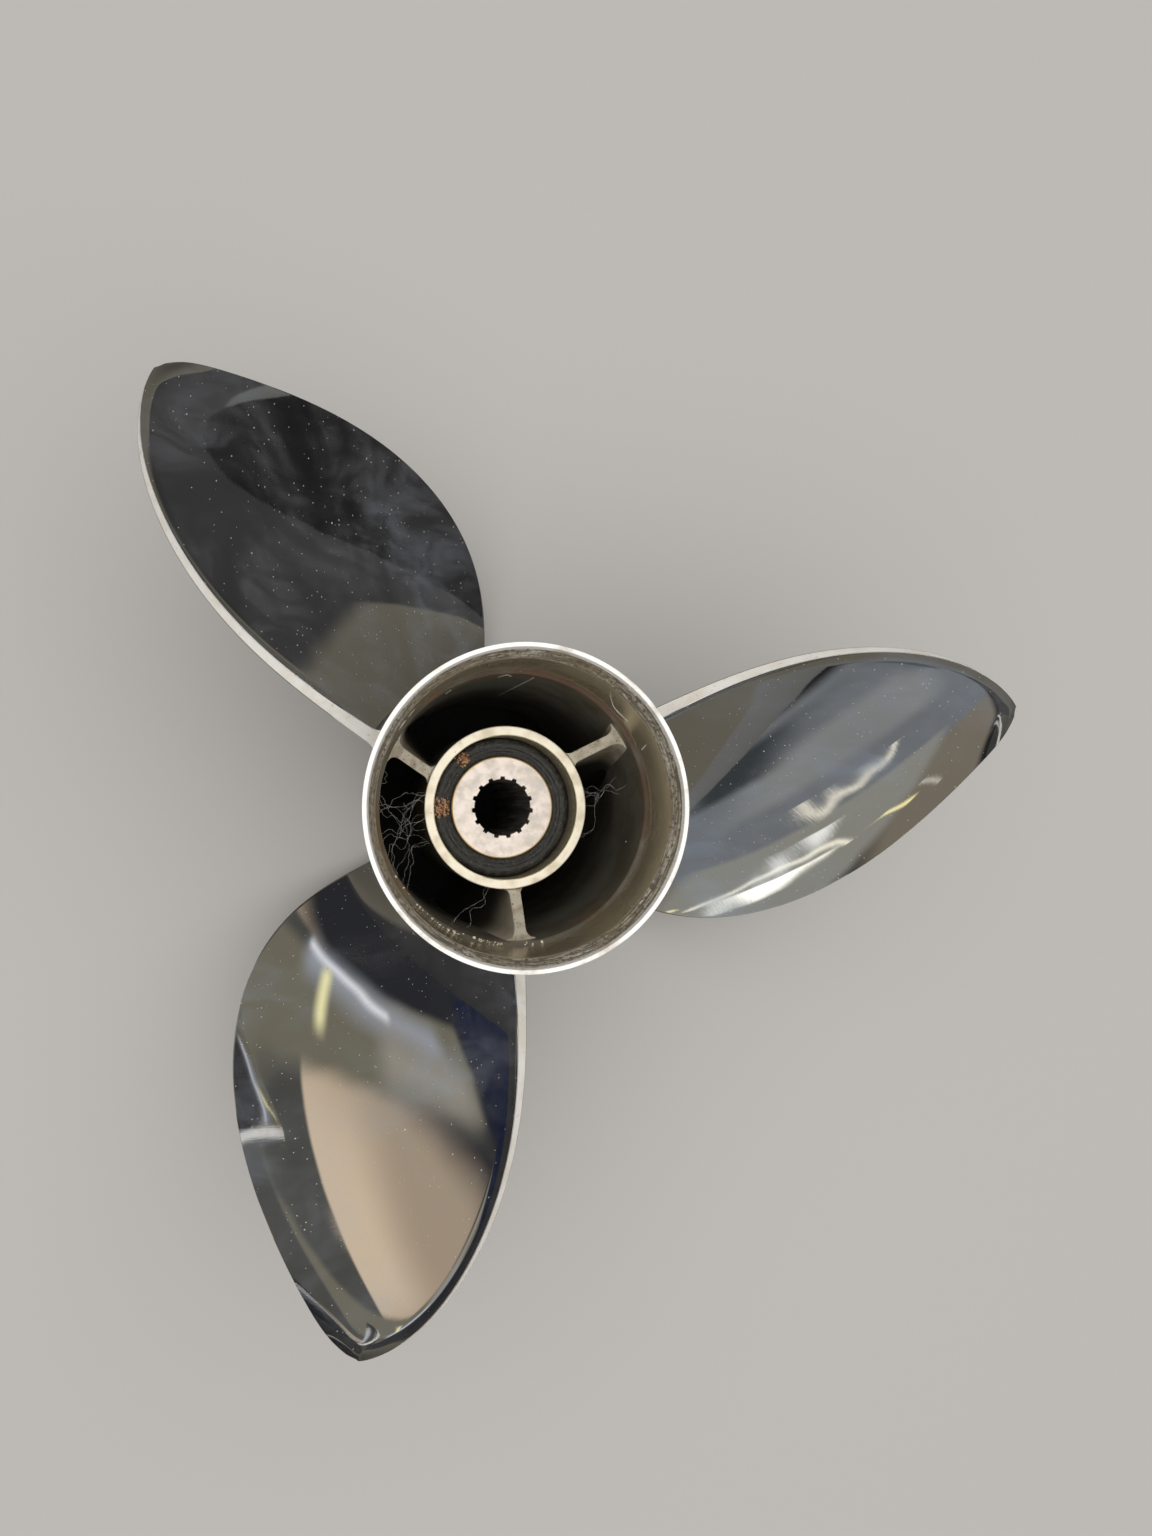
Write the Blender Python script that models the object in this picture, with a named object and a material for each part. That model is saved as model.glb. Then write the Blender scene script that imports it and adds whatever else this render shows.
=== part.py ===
# Three-blade outboard boat propeller, as a scripted model.
#
# One stainless casting carries the blades, a through-exhaust hub shell, an inner barrel and the
# three webs between them. A rubber bushing is pressed into the barrel, and a splined metal sleeve
# is bonded in the bushing. The shaft axis is Z, the flared aft ring is on top, and the origin lies
# on the shaft axis in the plane of the hub's front rim.

import math

import bmesh
import bpy

# Driving dimensions, in metres and degrees.
BLADE_COUNT = 3
TIP_RADIUS = 0.1938

# Hub shell.
HUB_LENGTH = 0.152
RING_RADIUS = 0.0605
BODY_RADIUS = 0.0570
FRONT_RADIUS = 0.0535
SHELL_WALL = 0.0044
FLARE_LENGTH = 0.022
LIP_WIDTH = 0.0018
LIP_ROUND = 0.0004
CONE_DEPTH = 0.0076
SEAT_AFT_WALL = 0.0016
SEAT_FRONT_WALL = 0.0028
SEAT_DEPTH = 0.0314
RIM_CHAMFER = 0.0010

# Inner barrel, which holds the bushing.
BARREL_RADIUS = 0.0335
BARREL_WALL = 0.0040
BARREL_DROP = 0.0543
BARREL_CHAMFER = 0.0006
FRONT_RECESS = 0.0030

# Webs between the barrel and the shell. The lean is a web's extra angle at the barrel.
WEB_THICKNESS = 0.0046
WEB_OUTER_DROP = 0.0360
WEB_INNER_DROP = 0.0580
WEB_ANGLE = 33.5
WEB_TWIST = 26.0
WEB_LEAN = 8.0
WEB_FRONT_RECESS = 0.0120
WEB_SHELL_FILLET = 0.0040
WEB_BARREL_FILLET = 0.0025

# Splined sleeve and its rubber bushing.
SLEEVE_RADIUS = 0.02135
SLEEVE_DROP = 0.0640
SLEEVE_CHAMFER = 0.0007
SPLINE_COUNT = 15
SPLINE_ROOT_RADIUS = 0.0127
SPLINE_LAND_RADIUS = 0.0116
SPLINE_GROOVE_SHARE = 0.42
SPLINE_TAPER = 0.75
SPLINE_ANGLE = 90.0
BROACH_ALLOWANCE = 0.0012
CUTTER_OVERRUN = 0.0050
BUSHING_DROP = 0.0024
BUSHING_ROUND = 0.0030
FIT_GAP = 0.0003

# Blade outline. The trailing edge starts at its root angle and sweeps back toward the tip, and
# the blade's angular width falls to nothing there. An ellipse in the width rounds the leading side
# of the tip, and a last turn with a rounded corner does the same for the trailing edge. The trim
# is the sliver cut off where the width runs out.
TRAILING_ANGLE = 30.7
TRAILING_SWEEP = 15.7
SWEEP_POWER = 2.15
TIP_TURN = 2.3
TIP_TURN_POWER = 14.0
CORNER_TURN = 1.2
CORNER_POWER = 36.0
ROOT_WIDTH_ANGLE = 56.5
WIDTH_POWER = 2.3
TIP_ROUNDING_ANGLE = 30.0
TIP_TRIM = 0.0002

# Blade surface. Pitch is the axial advance of one turn, and rake tips the blade aft.
TRAILING_DROP = 0.0416
RAKE_ANGLE = 27.0
RAKE_DROOP = 0.0120
ROOT_PITCH = 0.586
TIP_PITCH = 0.826
FACE_HOLLOW = 0.030
CUP_DEPTH = 0.0012
CUP_WIDTH = 0.0065
CUP_START = 0.33
CUP_LIMIT = 0.25

# Blade thickness, square to its face.
ROOT_THICKNESS = 0.0125
TIP_THICKNESS = 0.0046
THINNING_POWER = 1.4
ROOT_TRAILING_THICKNESS = 0.0068
TIP_TRAILING_THICKNESS = 0.0046
TRAILING_THINNING_POWER = 3.6
TIP_THINNING = 0.6
TIP_THINNING_POWER = 10.0
THICKEST_SHARE = 0.55
NOSE_POWER = 0.62

# Cast fillet at the blade's root. It grows from the leading edge over its rise, and past it the
# blade stops following the taper of the hub over the fade.
ROOT_FILLET = 0.0060
FILLET_RISE = 0.30
ROOT_SINK = 0.0024
ROOT_FADE = 0.0240

# Mesh fineness.
SHELL_SEGMENTS = 72
BARREL_SEGMENTS = 60
SLEEVE_SEGMENTS = 60
BODY_STATIONS = (0.19, 0.42, 0.69, 1.0)
FLARE_STATIONS = (0.3, 0.55, 0.8)
ROUND_STEPS = 4
CHORD_POINTS = 10
CHORD_CROWDING = 1.3
CUP_POINTS = 3
FILLET_STATIONS = (0.0, 0.12, 0.35, 0.65, 1.0)
SPAN_STATIONS = 16
SPAN_CROWDING = 2.0
WEB_STEPS_OUT = 8
WEB_STEPS_UP = 6
SHARP_ANGLE = 35.0

# Heights and radii of the main faces, worked out from the sizes above.
FLARE_START = HUB_LENGTH - FLARE_LENGTH
SEAT_BOTTOM = HUB_LENGTH - SEAT_DEPTH
BARREL_TOP = HUB_LENGTH - BARREL_DROP
SLEEVE_TOP = HUB_LENGTH - SLEEVE_DROP
BUSHING_TOP = SLEEVE_TOP - BUSHING_DROP
BARREL_BORE = BARREL_RADIUS - BARREL_WALL


def remove_old_objects():
    for old in list(bpy.data.objects):
        bpy.data.objects.remove(old, do_unlink=True)


def make_material(name, colour, roughness, metallic):
    material = bpy.data.materials.new(name)
    material.use_nodes = True
    shader = material.node_tree.nodes["Principled BSDF"]
    shader.inputs["Base Color"].default_value = (*colour, 1.0)
    shader.inputs["Roughness"].default_value = roughness
    shader.inputs["Metallic"].default_value = metallic
    material.diffuse_color = (*colour, 1.0)
    return material


def make_object(name, mesh_builder, material=None):
    """Turn a bmesh into a named object with outward faces and smooth round sides."""
    bmesh.ops.recalc_face_normals(mesh_builder, faces=mesh_builder.faces)
    mesh = bpy.data.meshes.new(name)
    mesh_builder.to_mesh(mesh)
    mesh_builder.free()
    mesh.shade_smooth()
    mesh.set_sharp_from_angle(angle=math.radians(SHARP_ANGLE))
    thing = bpy.data.objects.new(name, mesh)
    bpy.context.scene.collection.objects.link(thing)
    if material is not None:
        mesh.materials.append(material)
    return thing


def turned(profile, segments):
    """Spin a closed outline of (radius, height) points about the shaft axis."""
    builder = bmesh.new()
    corners = [builder.verts.new((radius, 0.0, height)) for radius, height in profile]
    edges = []
    for index, corner in enumerate(corners):
        edges.append(builder.edges.new((corner, corners[(index + 1) % len(corners)])))
    bmesh.ops.spin(
        builder,
        geom=corners + edges,
        cent=(0.0, 0.0, 0.0),
        axis=(0.0, 0.0, 1.0),
        angle=2.0 * math.pi,
        steps=segments,
        use_merge=True,
    )
    return builder


def smooth_step(share):
    share = min(max(share, 0.0), 1.0)
    return share * share * (3.0 - 2.0 * share)


def shell_outside(height):
    """Outside radius of the hub shell: a slow barrel shape that flares out into the aft ring."""
    body_share = math.sin(0.5 * math.pi * min(max(height / FLARE_START, 0.0), 1.0))
    body = FRONT_RADIUS + (BODY_RADIUS - FRONT_RADIUS) * body_share
    flare_share = max(0.0, (height - FLARE_START) / FLARE_LENGTH)
    return body + (RING_RADIUS - BODY_RADIUS) * flare_share ** 2


def shell_profile():
    """Closed outline of the shell: up the outside, over the lip, and down the bore."""
    heights = [RIM_CHAMFER] + [FLARE_START * share for share in BODY_STATIONS]
    heights += [FLARE_START + FLARE_LENGTH * share for share in FLARE_STATIONS]
    points = [(FRONT_RADIUS - RIM_CHAMFER, 0.0)]
    points += [(shell_outside(height), height) for height in heights]
    points += [
        (RING_RADIUS, HUB_LENGTH - LIP_ROUND),
        (RING_RADIUS - LIP_ROUND, HUB_LENGTH),
        (RING_RADIUS - LIP_WIDTH, HUB_LENGTH),
        (BODY_RADIUS - SEAT_AFT_WALL, HUB_LENGTH - CONE_DEPTH),
        (BODY_RADIUS - SEAT_FRONT_WALL, SEAT_BOTTOM),
        (BODY_RADIUS - SHELL_WALL, SEAT_BOTTOM - SHELL_WALL + SEAT_FRONT_WALL),
        (FRONT_RADIUS - SHELL_WALL, RIM_CHAMFER),
        (FRONT_RADIUS - SHELL_WALL + RIM_CHAMFER, 0.0),
    ]
    return points


def barrel_profile():
    return [
        (BARREL_RADIUS, FRONT_RECESS),
        (BARREL_RADIUS, BARREL_TOP),
        (BARREL_BORE + BARREL_CHAMFER, BARREL_TOP),
        (BARREL_BORE, BARREL_TOP - BARREL_CHAMFER),
        (BARREL_BORE, FRONT_RECESS),
    ]


def web_bore(height):
    """Radius of the rough bore where a web meets the shell."""
    share = min(height / SEAT_BOTTOM, 1.0)
    return FRONT_RADIUS - SHELL_WALL + (BODY_RADIUS - FRONT_RADIUS) * share


def quarter_round(gap, fillet):
    """How far a fillet stands out at a distance from the wall it runs into."""
    share = min(max(gap / fillet, 0.0), 1.0)
    return fillet * (1.0 - math.sqrt(1.0 - (1.0 - share) ** 2))


def web_half_thickness(radius, bore):
    """Half the web, thickened by a fillet where it meets the barrel and the shell."""
    half = 0.5 * WEB_THICKNESS
    ends = ((radius - BARREL_RADIUS, WEB_BARREL_FILLET), (bore - radius, WEB_SHELL_FILLET))
    for gap, fillet in ends:
        half += quarter_round(gap, fillet)
    return half


def web_mesh(turn):
    """One web: a plate on a slow helix, highest at the shell and lowest at the barrel."""
    inner = BARREL_RADIUS - 0.5 * BARREL_WALL
    top_outer = HUB_LENGTH - WEB_OUTER_DROP
    top_inner = HUB_LENGTH - WEB_INNER_DROP
    builder = bmesh.new()
    rows = []
    for up in range(WEB_STEPS_UP + 1):
        row = []
        for out in range(WEB_STEPS_OUT + 1):
            share_out = 0.5 - 0.5 * math.cos(math.pi * out / WEB_STEPS_OUT)
            top = top_inner + (top_outer - top_inner) * share_out
            height = WEB_FRONT_RECESS + (top - WEB_FRONT_RECESS) * up / WEB_STEPS_UP
            bore = web_bore(height)
            outer = bore + 0.5 * SHELL_WALL
            radius = inner + (outer - inner) * share_out
            middle = WEB_ANGLE + turn + WEB_LEAN * (1.0 - share_out)
            middle -= WEB_TWIST * (top_outer - height) / top_outer
            half = web_half_thickness(radius, bore) / radius
            pair = []
            for side in (-1.0, 1.0):
                angle = math.radians(middle) + side * half
                pair.append(
                    builder.verts.new((radius * math.cos(angle), radius * math.sin(angle), height))
                )
            row.append(pair)
        rows.append(row)
    for up in range(WEB_STEPS_UP):
        for out in range(WEB_STEPS_OUT):
            for side in (0, 1):
                builder.faces.new(
                    (
                        rows[up][out][side],
                        rows[up][out + 1][side],
                        rows[up + 1][out + 1][side],
                        rows[up + 1][out][side],
                    )
                )
    for row in (rows[0], rows[-1]):
        for out in range(WEB_STEPS_OUT):
            builder.faces.new((row[out][0], row[out + 1][0], row[out + 1][1], row[out][1]))
    for out in (0, WEB_STEPS_OUT):
        for up in range(WEB_STEPS_UP):
            low = rows[up][out]
            high = rows[up + 1][out]
            builder.faces.new((low[0], low[1], high[1], high[0]))
    return builder


def blade_share(radius):
    """How far out along the blade a radius lies, from 0 at the ring to 1 at the tip."""
    return max(0.0, (radius - RING_RADIUS) / (TIP_RADIUS - RING_RADIUS))


def blade_edges(radius):
    """Angle and height of the trailing edge, then of the leading edge, at one radius."""
    share = blade_share(radius)
    sweep = TRAILING_SWEEP * share ** SWEEP_POWER + TIP_TURN * share ** TIP_TURN_POWER
    corner = share ** CORNER_POWER
    body_width = math.radians(ROOT_WIDTH_ANGLE) * (1.0 - share ** WIDTH_POWER)
    round_width = math.radians(TIP_ROUNDING_ANGLE) * math.sqrt(1.0 - share ** 2)
    line = math.radians(TRAILING_ANGLE - sweep)
    trailing = line - math.radians(CORNER_TURN) * (1.0 - math.sqrt(1.0 - corner))
    leading = line - math.radians(CORNER_TURN) * corner - math.hypot(body_width, round_width)
    rise = math.tan(math.radians(RAKE_ANGLE)) * (radius - RING_RADIUS)
    trailing_height = HUB_LENGTH - TRAILING_DROP + rise - RAKE_DROOP * share ** 2
    advance = (ROOT_PITCH + (TIP_PITCH - ROOT_PITCH) * share) / (2.0 * math.pi)
    return trailing, trailing_height, leading, trailing_height - advance * (trailing - leading)


def blade_thickness(share, along):
    """Thickness at a share of the span and a share of the chord from the leading edge."""
    left = 1.0 - share
    thickest = TIP_THICKNESS + (ROOT_THICKNESS - TIP_THICKNESS) * left ** THINNING_POWER
    trailing_gain = ROOT_TRAILING_THICKNESS - TIP_TRAILING_THICKNESS
    trailing = TIP_TRAILING_THICKNESS + trailing_gain * left ** TRAILING_THINNING_POWER
    if along < THICKEST_SHARE:
        nose = 1.0 - along / THICKEST_SHARE
        body = thickest * (1.0 - nose * nose) ** NOSE_POWER
    else:
        fall = smooth_step((along - THICKEST_SHARE) / (1.0 - THICKEST_SHARE))
        body = thickest + (trailing - thickest) * fall
    return body * (1.0 - TIP_THINNING * share ** TIP_THINNING_POWER)


def cup_width_share(chord):
    """Share of the chord that the cup takes, limited close to the tip."""
    return min(CUP_WIDTH / chord, CUP_LIMIT)


def chord_shares(chord):
    """Places along the chord: crowded at the leading edge, with a few inside the cup."""
    cup = cup_width_share(chord)
    steps = [(step / CHORD_POINTS) ** CHORD_CROWDING for step in range(CHORD_POINTS + 1)]
    curl = [1.0 - cup + cup * step / CUP_POINTS for step in range(1, CUP_POINTS + 1)]
    return [(1.0 - cup) * step for step in steps] + curl


def face_depth(share, along, chord):
    """Depth of the pressure face under the straight line between its two edges."""
    cup = cup_width_share(chord)
    depth = CUP_DEPTH * smooth_step(share / CUP_START) * cup * chord / CUP_WIDTH
    if along < 1.0 - cup:
        lowering = smooth_step(along / (1.0 - cup))
    else:
        lowering = 1.0 - ((along - 1.0 + cup) / cup) ** 2
    return FACE_HOLLOW * chord * 4.0 * along * (1.0 - along) + depth * lowering


def follow_hub(radius, height):
    """Shift a radius near the root with the hub's taper, so that the root stays in the shell."""
    fade = 1.0 - smooth_step((radius - BODY_RADIUS) / ROOT_FADE)
    return radius + fade * (shell_outside(height) - BODY_RADIUS)


def blade_section(radius, turn):
    """Points of the pressure face and of the suction back, from leading to trailing edge."""
    share = blade_share(radius)
    trailing, trailing_height, leading, leading_height = blade_edges(radius)
    width = trailing - leading
    climb = math.atan2(trailing_height - leading_height, width * radius)
    chord = math.hypot(trailing_height - leading_height, width * radius)
    flare = quarter_round(radius - BODY_RADIUS, ROOT_FILLET)
    face = []
    back = []
    for along in chord_shares(chord):
        rise = min(along / FILLET_RISE, 1.0)
        swell = flare * math.sqrt(1.0 - (1.0 - rise) ** 2)
        offset = face_depth(share, along, chord) - swell
        thickness = blade_thickness(share, along) + 2.0 * swell
        for points, distance in ((face, offset), (back, offset + thickness)):
            angle = leading + width * along + distance * math.sin(climb) / radius
            angle += math.radians(turn)
            height = leading_height + (trailing_height - leading_height) * along
            height -= distance * math.cos(climb)
            reach = follow_hub(radius, height)
            points.append((reach * math.cos(angle), reach * math.sin(angle), height))
    return face, back


def blade_radii():
    """Stations along the blade: close together in the root fillet and near the tip."""
    fillet = [BODY_RADIUS + ROOT_FILLET * share for share in FILLET_STATIONS]
    first = fillet[-1]
    span = TIP_RADIUS - TIP_TRIM - first
    rest = []
    for index in range(1, SPAN_STATIONS + 1):
        left = 1.0 - index / SPAN_STATIONS
        rest.append(first + span * (1.0 - left ** SPAN_CROWDING))
    return [BODY_RADIUS - ROOT_SINK] + fillet + rest


def blade_mesh(turn):
    builder = bmesh.new()
    stations = []
    for radius in blade_radii():
        face, back = blade_section(radius, turn)
        face_verts = [builder.verts.new(point) for point in face]
        back_verts = [face_verts[0]] + [builder.verts.new(point) for point in back[1:]]
        stations.append((face_verts, back_verts))
    last = CHORD_POINTS + CUP_POINTS
    for near, far in zip(stations, stations[1:]):
        for side in (0, 1):
            for index in range(last):
                builder.faces.new(
                    (
                        near[side][index],
                        near[side][index + 1],
                        far[side][index + 1],
                        far[side][index],
                    )
                )
        builder.faces.new((near[0][-1], near[1][-1], far[1][-1], far[0][-1]))
    for face_verts, back_verts in (stations[0], stations[-1]):
        builder.faces.new((face_verts[0], face_verts[1], back_verts[1]))
        for index in range(1, last):
            builder.faces.new(
                (
                    face_verts[index],
                    face_verts[index + 1],
                    back_verts[index + 1],
                    back_verts[index],
                )
            )
    return builder


def sleeve_profile():
    bore = SPLINE_LAND_RADIUS - BROACH_ALLOWANCE
    return [
        (SLEEVE_RADIUS - SLEEVE_CHAMFER, FRONT_RECESS),
        (SLEEVE_RADIUS, FRONT_RECESS + SLEEVE_CHAMFER),
        (SLEEVE_RADIUS, SLEEVE_TOP - SLEEVE_CHAMFER),
        (SLEEVE_RADIUS - SLEEVE_CHAMFER, SLEEVE_TOP),
        (bore, SLEEVE_TOP),
        (bore, FRONT_RECESS),
    ]


def spline_cutter_mesh():
    """Prism with one tooth for each groove, which broaches the sleeve's bore."""
    outline = []
    pitch = 2.0 * math.pi / SPLINE_COUNT
    for groove in range(SPLINE_COUNT):
        middle = math.radians(SPLINE_ANGLE) + groove * pitch
        half = 0.5 * SPLINE_GROOVE_SHARE * pitch
        land = 0.5 * (1.0 - SPLINE_GROOVE_SHARE) * pitch
        outline.append((SPLINE_LAND_RADIUS, middle - half))
        outline.append((SPLINE_ROOT_RADIUS, middle - SPLINE_TAPER * half))
        outline.append((SPLINE_ROOT_RADIUS, middle + SPLINE_TAPER * half))
        outline.append((SPLINE_LAND_RADIUS, middle + half))
        outline.append((SPLINE_LAND_RADIUS, middle + half + land))
    builder = bmesh.new()
    floor = [
        builder.verts.new((r * math.cos(a), r * math.sin(a), FRONT_RECESS - CUTTER_OVERRUN))
        for r, a in outline
    ]
    base = builder.faces.new(floor)
    grown = bmesh.ops.extrude_face_region(builder, geom=[base])
    lifted = [item for item in grown["geom"] if isinstance(item, bmesh.types.BMVert)]
    rise = SLEEVE_TOP - FRONT_RECESS + 2.0 * CUTTER_OVERRUN
    bmesh.ops.translate(builder, verts=lifted, vec=(0.0, 0.0, rise))
    return builder


def bushing_profile():
    """Outline of the rubber: flat round the sleeve, with a rounded shoulder at the barrel."""
    inner = SLEEVE_RADIUS + FIT_GAP
    outer = BARREL_BORE - FIT_GAP
    bottom = FRONT_RECESS + BUSHING_DROP
    points = [(inner, bottom), (outer, bottom)]
    for step in range(ROUND_STEPS + 1):
        turn = 0.5 * math.pi * step / ROUND_STEPS
        radius = outer - BUSHING_ROUND * (1.0 - math.cos(turn))
        points.append((radius, BUSHING_TOP - BUSHING_ROUND * (1.0 - math.sin(turn))))
    return points + [(inner, BUSHING_TOP)]


def add_boolean(target, tool, operation):
    """Join or cut the target with a hidden tool object."""
    modifier = target.modifiers.new(f"{operation.lower()} {tool.name}", "BOOLEAN")
    modifier.operation = operation
    modifier.solver = "EXACT"
    modifier.object = tool
    tool.hide_render = True
    tool.display_type = "WIRE"


def build_casting(material):
    casting = make_object("propeller_casting", turned(shell_profile(), SHELL_SEGMENTS), material)
    barrel = make_object("barrel_blank", turned(barrel_profile(), BARREL_SEGMENTS), material)
    joined = []
    for index in range(BLADE_COUNT):
        turn = 360.0 / BLADE_COUNT * index
        joined.append(make_object(f"web_blank_{index + 1}", web_mesh(turn), material))
        joined.append(make_object(f"blade_blank_{index + 1}", blade_mesh(turn), material))
    add_boolean(casting, barrel, "UNION")
    for tool in joined:
        add_boolean(casting, tool, "UNION")
    return casting


def build_sleeve(material):
    sleeve = make_object("splined_sleeve", turned(sleeve_profile(), SLEEVE_SEGMENTS), material)
    cutter = make_object("spline_cutter", spline_cutter_mesh())
    add_boolean(sleeve, cutter, "DIFFERENCE")
    return sleeve


remove_old_objects()
stainless = make_material("polished_stainless", (0.62, 0.61, 0.58), 0.12, 1.0)
sleeve_metal = make_material("turned_sleeve_metal", (0.74, 0.70, 0.66), 0.38, 1.0)
rubber = make_material("black_rubber", (0.035, 0.034, 0.032), 0.75, 0.0)
build_casting(stainless)
build_sleeve(sleeve_metal)
make_object("rubber_bushing", turned(bushing_profile(), BARREL_SEGMENTS), rubber)
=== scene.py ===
# Three-blade outboard boat propeller in polished stainless steel, dressed over its CAD frame.
#
# Heights run up the shaft axis from the hub's front rim, in metres, and angles in degrees turn
# from +X towards +Y, as in the CAD model. The sections follow the propeller as it is made: the
# cast hub, barrel, webs and blades, then the rubber bushing, the splined sleeve, and the dirt.

import math
import random

import bmesh
import bpy
from mathutils import Matrix, Vector


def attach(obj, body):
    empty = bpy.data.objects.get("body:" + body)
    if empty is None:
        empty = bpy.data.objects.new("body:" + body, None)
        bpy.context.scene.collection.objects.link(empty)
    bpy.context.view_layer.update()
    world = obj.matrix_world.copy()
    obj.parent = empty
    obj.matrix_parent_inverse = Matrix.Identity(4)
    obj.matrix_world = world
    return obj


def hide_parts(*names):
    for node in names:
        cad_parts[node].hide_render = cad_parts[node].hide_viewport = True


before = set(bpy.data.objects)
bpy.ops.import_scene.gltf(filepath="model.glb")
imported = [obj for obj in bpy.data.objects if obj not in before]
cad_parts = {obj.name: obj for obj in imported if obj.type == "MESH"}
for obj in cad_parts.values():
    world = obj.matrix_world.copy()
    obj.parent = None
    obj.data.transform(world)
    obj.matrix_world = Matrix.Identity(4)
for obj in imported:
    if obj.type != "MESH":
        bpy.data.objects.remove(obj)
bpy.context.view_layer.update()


# Hub shell. A thin-walled tube of cast stainless steel that flares out into the aft ring. It is
# mirror polished outside, left as cast in the flare and the bore, and turned smooth for a short
# way inside the ring, where rust has gathered on the shoulder below the turned band.
HUB_LENGTH = 0.152
RING_RADIUS = 0.0605
BODY_RADIUS = 0.0570
FRONT_RADIUS = 0.0535
SHELL_WALL = 0.0044
FLARE_LENGTH = 0.022
LIP_WIDTH = 0.0018
LIP_ROUND = 0.0004
LIP_BEVEL_WIDTH = 0.0007
LIP_BEVEL_DEPTH = 0.0016
CONE_DEPTH = 0.0076
SEAT_AFT_WALL = 0.0016
SEAT_FRONT_WALL = 0.0028
SEAT_DEPTH = 0.0314
STEP_ROUND = 0.0005
RIM_ROUND = 0.0010
FLARE_START = HUB_LENGTH - FLARE_LENGTH
SEAT_BOTTOM = HUB_LENGTH - SEAT_DEPTH
STEP_WIDTH = SHELL_WALL - SEAT_FRONT_WALL
SHELL_SEGMENTS = 288
BODY_STEPS = 25
FLARE_STEPS = 20
SUPPORT = 0.00025
WELD = 1e-6
RUSTY_SIDE = (0.743, 0.669, 0.0)
MIRROR, LIP, FLARE, SEAT, BORE = range(5)


def add_node(tree, kind, inputs=None, **settings):
    """Make a node, set its options, and set or link its inputs, given by name or number."""
    node = tree.nodes.new(kind)
    for option, value in settings.items():
        setattr(node, option, value)
    for socket, value in (inputs or {}).items():
        if isinstance(value, bpy.types.NodeSocket):
            tree.links.new(value, node.inputs[socket])
        else:
            node.inputs[socket].default_value = value
    return node


def result(tree, kind, inputs=None, **settings):
    """The first output of a new node."""
    return add_node(tree, kind, inputs, **settings).outputs[0]


def ramp(tree, value, low, high):
    """Rise smoothly from 0 at low to 1 at high."""
    inputs = {"Value": value, "From Min": low, "From Max": high}
    return result(tree, "ShaderNodeMapRange", inputs, interpolation_type="SMOOTHSTEP")


def maths(tree, operation, first, second=0.0):
    return result(tree, "ShaderNodeMath", {0: first, 1: second}, operation=operation)


def times(tree, first, second):
    return maths(tree, "MULTIPLY", first, second)


def inverse(tree, mask):
    """One less the mask."""
    return maths(tree, "SUBTRACT", 1.0, mask)


def vector_maths(tree, operation, first, second=None):
    """Sums with vectors. A length or a dot product comes out as one number."""
    inputs = {0: first}
    if second is not None:
        inputs["Scale" if operation == "SCALE" else 1] = second
    node = add_node(tree, "ShaderNodeVectorMath", inputs, operation=operation)
    return node.outputs["Value" if operation in ("LENGTH", "DOT_PRODUCT") else "Vector"]


def blend_colours(tree, share, low, high):
    """Mix two colours, each a plain colour or a socket."""
    ends = [end if isinstance(end, bpy.types.NodeSocket) else (*end, 1.0) for end in (low, high)]
    inputs = {0: share, 6: ends[0], 7: ends[1]}
    return add_node(tree, "ShaderNodeMix", inputs, data_type="RGBA").outputs[2]


def blend_values(tree, share, low, high):
    return result(tree, "ShaderNodeMix", {0: share, 2: low, 3: high})


def start_group(kind, name, inputs, outputs):
    """Make an empty node group with named sockets, and give its two ends."""
    tree = bpy.data.node_groups.new(name, kind + "NodeTree")
    for socket, holds, *value in inputs:
        made = tree.interface.new_socket(socket, in_out="INPUT", socket_type="NodeSocket" + holds)
        if value:
            made.default_value = value[0]
    for socket, holds in outputs:
        tree.interface.new_socket(socket, in_out="OUTPUT", socket_type="NodeSocket" + holds)
    return tree, tree.nodes.new("NodeGroupInput").outputs, tree.nodes.new("NodeGroupOutput").inputs


def round_shaft_group():
    """Radius, height, a place to read noise drawn out into streaks, and how far towards one side."""
    inputs = [("Vector", "Vector"), ("Turns", "Float", 6.0), ("Towards", "Vector", (1.0, 0.0, 0.0))]
    outputs = [("Radius", "Float"), ("Height", "Float"), ("Streak", "Vector"), ("Side", "Float")]
    tree, given, wanted = start_group("Shader", "round_the_shaft", inputs, outputs)
    parts = add_node(tree, "ShaderNodeSeparateXYZ", {0: given["Vector"]}).outputs
    flat = result(tree, "ShaderNodeCombineXYZ", {"X": parts["X"], "Y": parts["Y"]})
    length = vector_maths(tree, "LENGTH", flat)
    facing = vector_maths(tree, "NORMALIZE", flat)
    turned_to = vector_maths(tree, "SCALE", facing, given["Turns"])
    across = maths(tree, "ADD", length, parts["Z"])
    lift = result(tree, "ShaderNodeCombineXYZ", {"Z": times(tree, across, 1000.0)})
    tree.links.new(vector_maths(tree, "ADD", turned_to, lift), wanted["Streak"])
    tree.links.new(vector_maths(tree, "DOT_PRODUCT", facing, given["Towards"]), wanted["Side"])
    tree.links.new(length, wanted["Radius"])
    tree.links.new(parts["Z"], wanted["Height"])
    return tree


def haze_group():
    """Cloudy patches, such as finger marks and dried water on polished metal."""
    inputs = [("Vector", "Vector"), ("Scale", "Float", 20.0), ("Cover", "Float", 0.5)]
    tree, given, wanted = start_group("Shader", "cloudy_haze", inputs, [("Mask", "Float")])
    settings = {"Vector": given["Vector"], "Scale": given["Scale"]}
    settings.update({"Detail": 5.0, "Roughness": 0.55, "Distortion": 1.1})
    cloud = add_node(tree, "ShaderNodeTexNoise", settings).outputs["Fac"]
    above = maths(tree, "SUBTRACT", cloud, inverse(tree, given["Cover"]))
    tree.links.new(ramp(tree, above, -0.16, 0.20), wanted["Mask"])
    return tree


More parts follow.
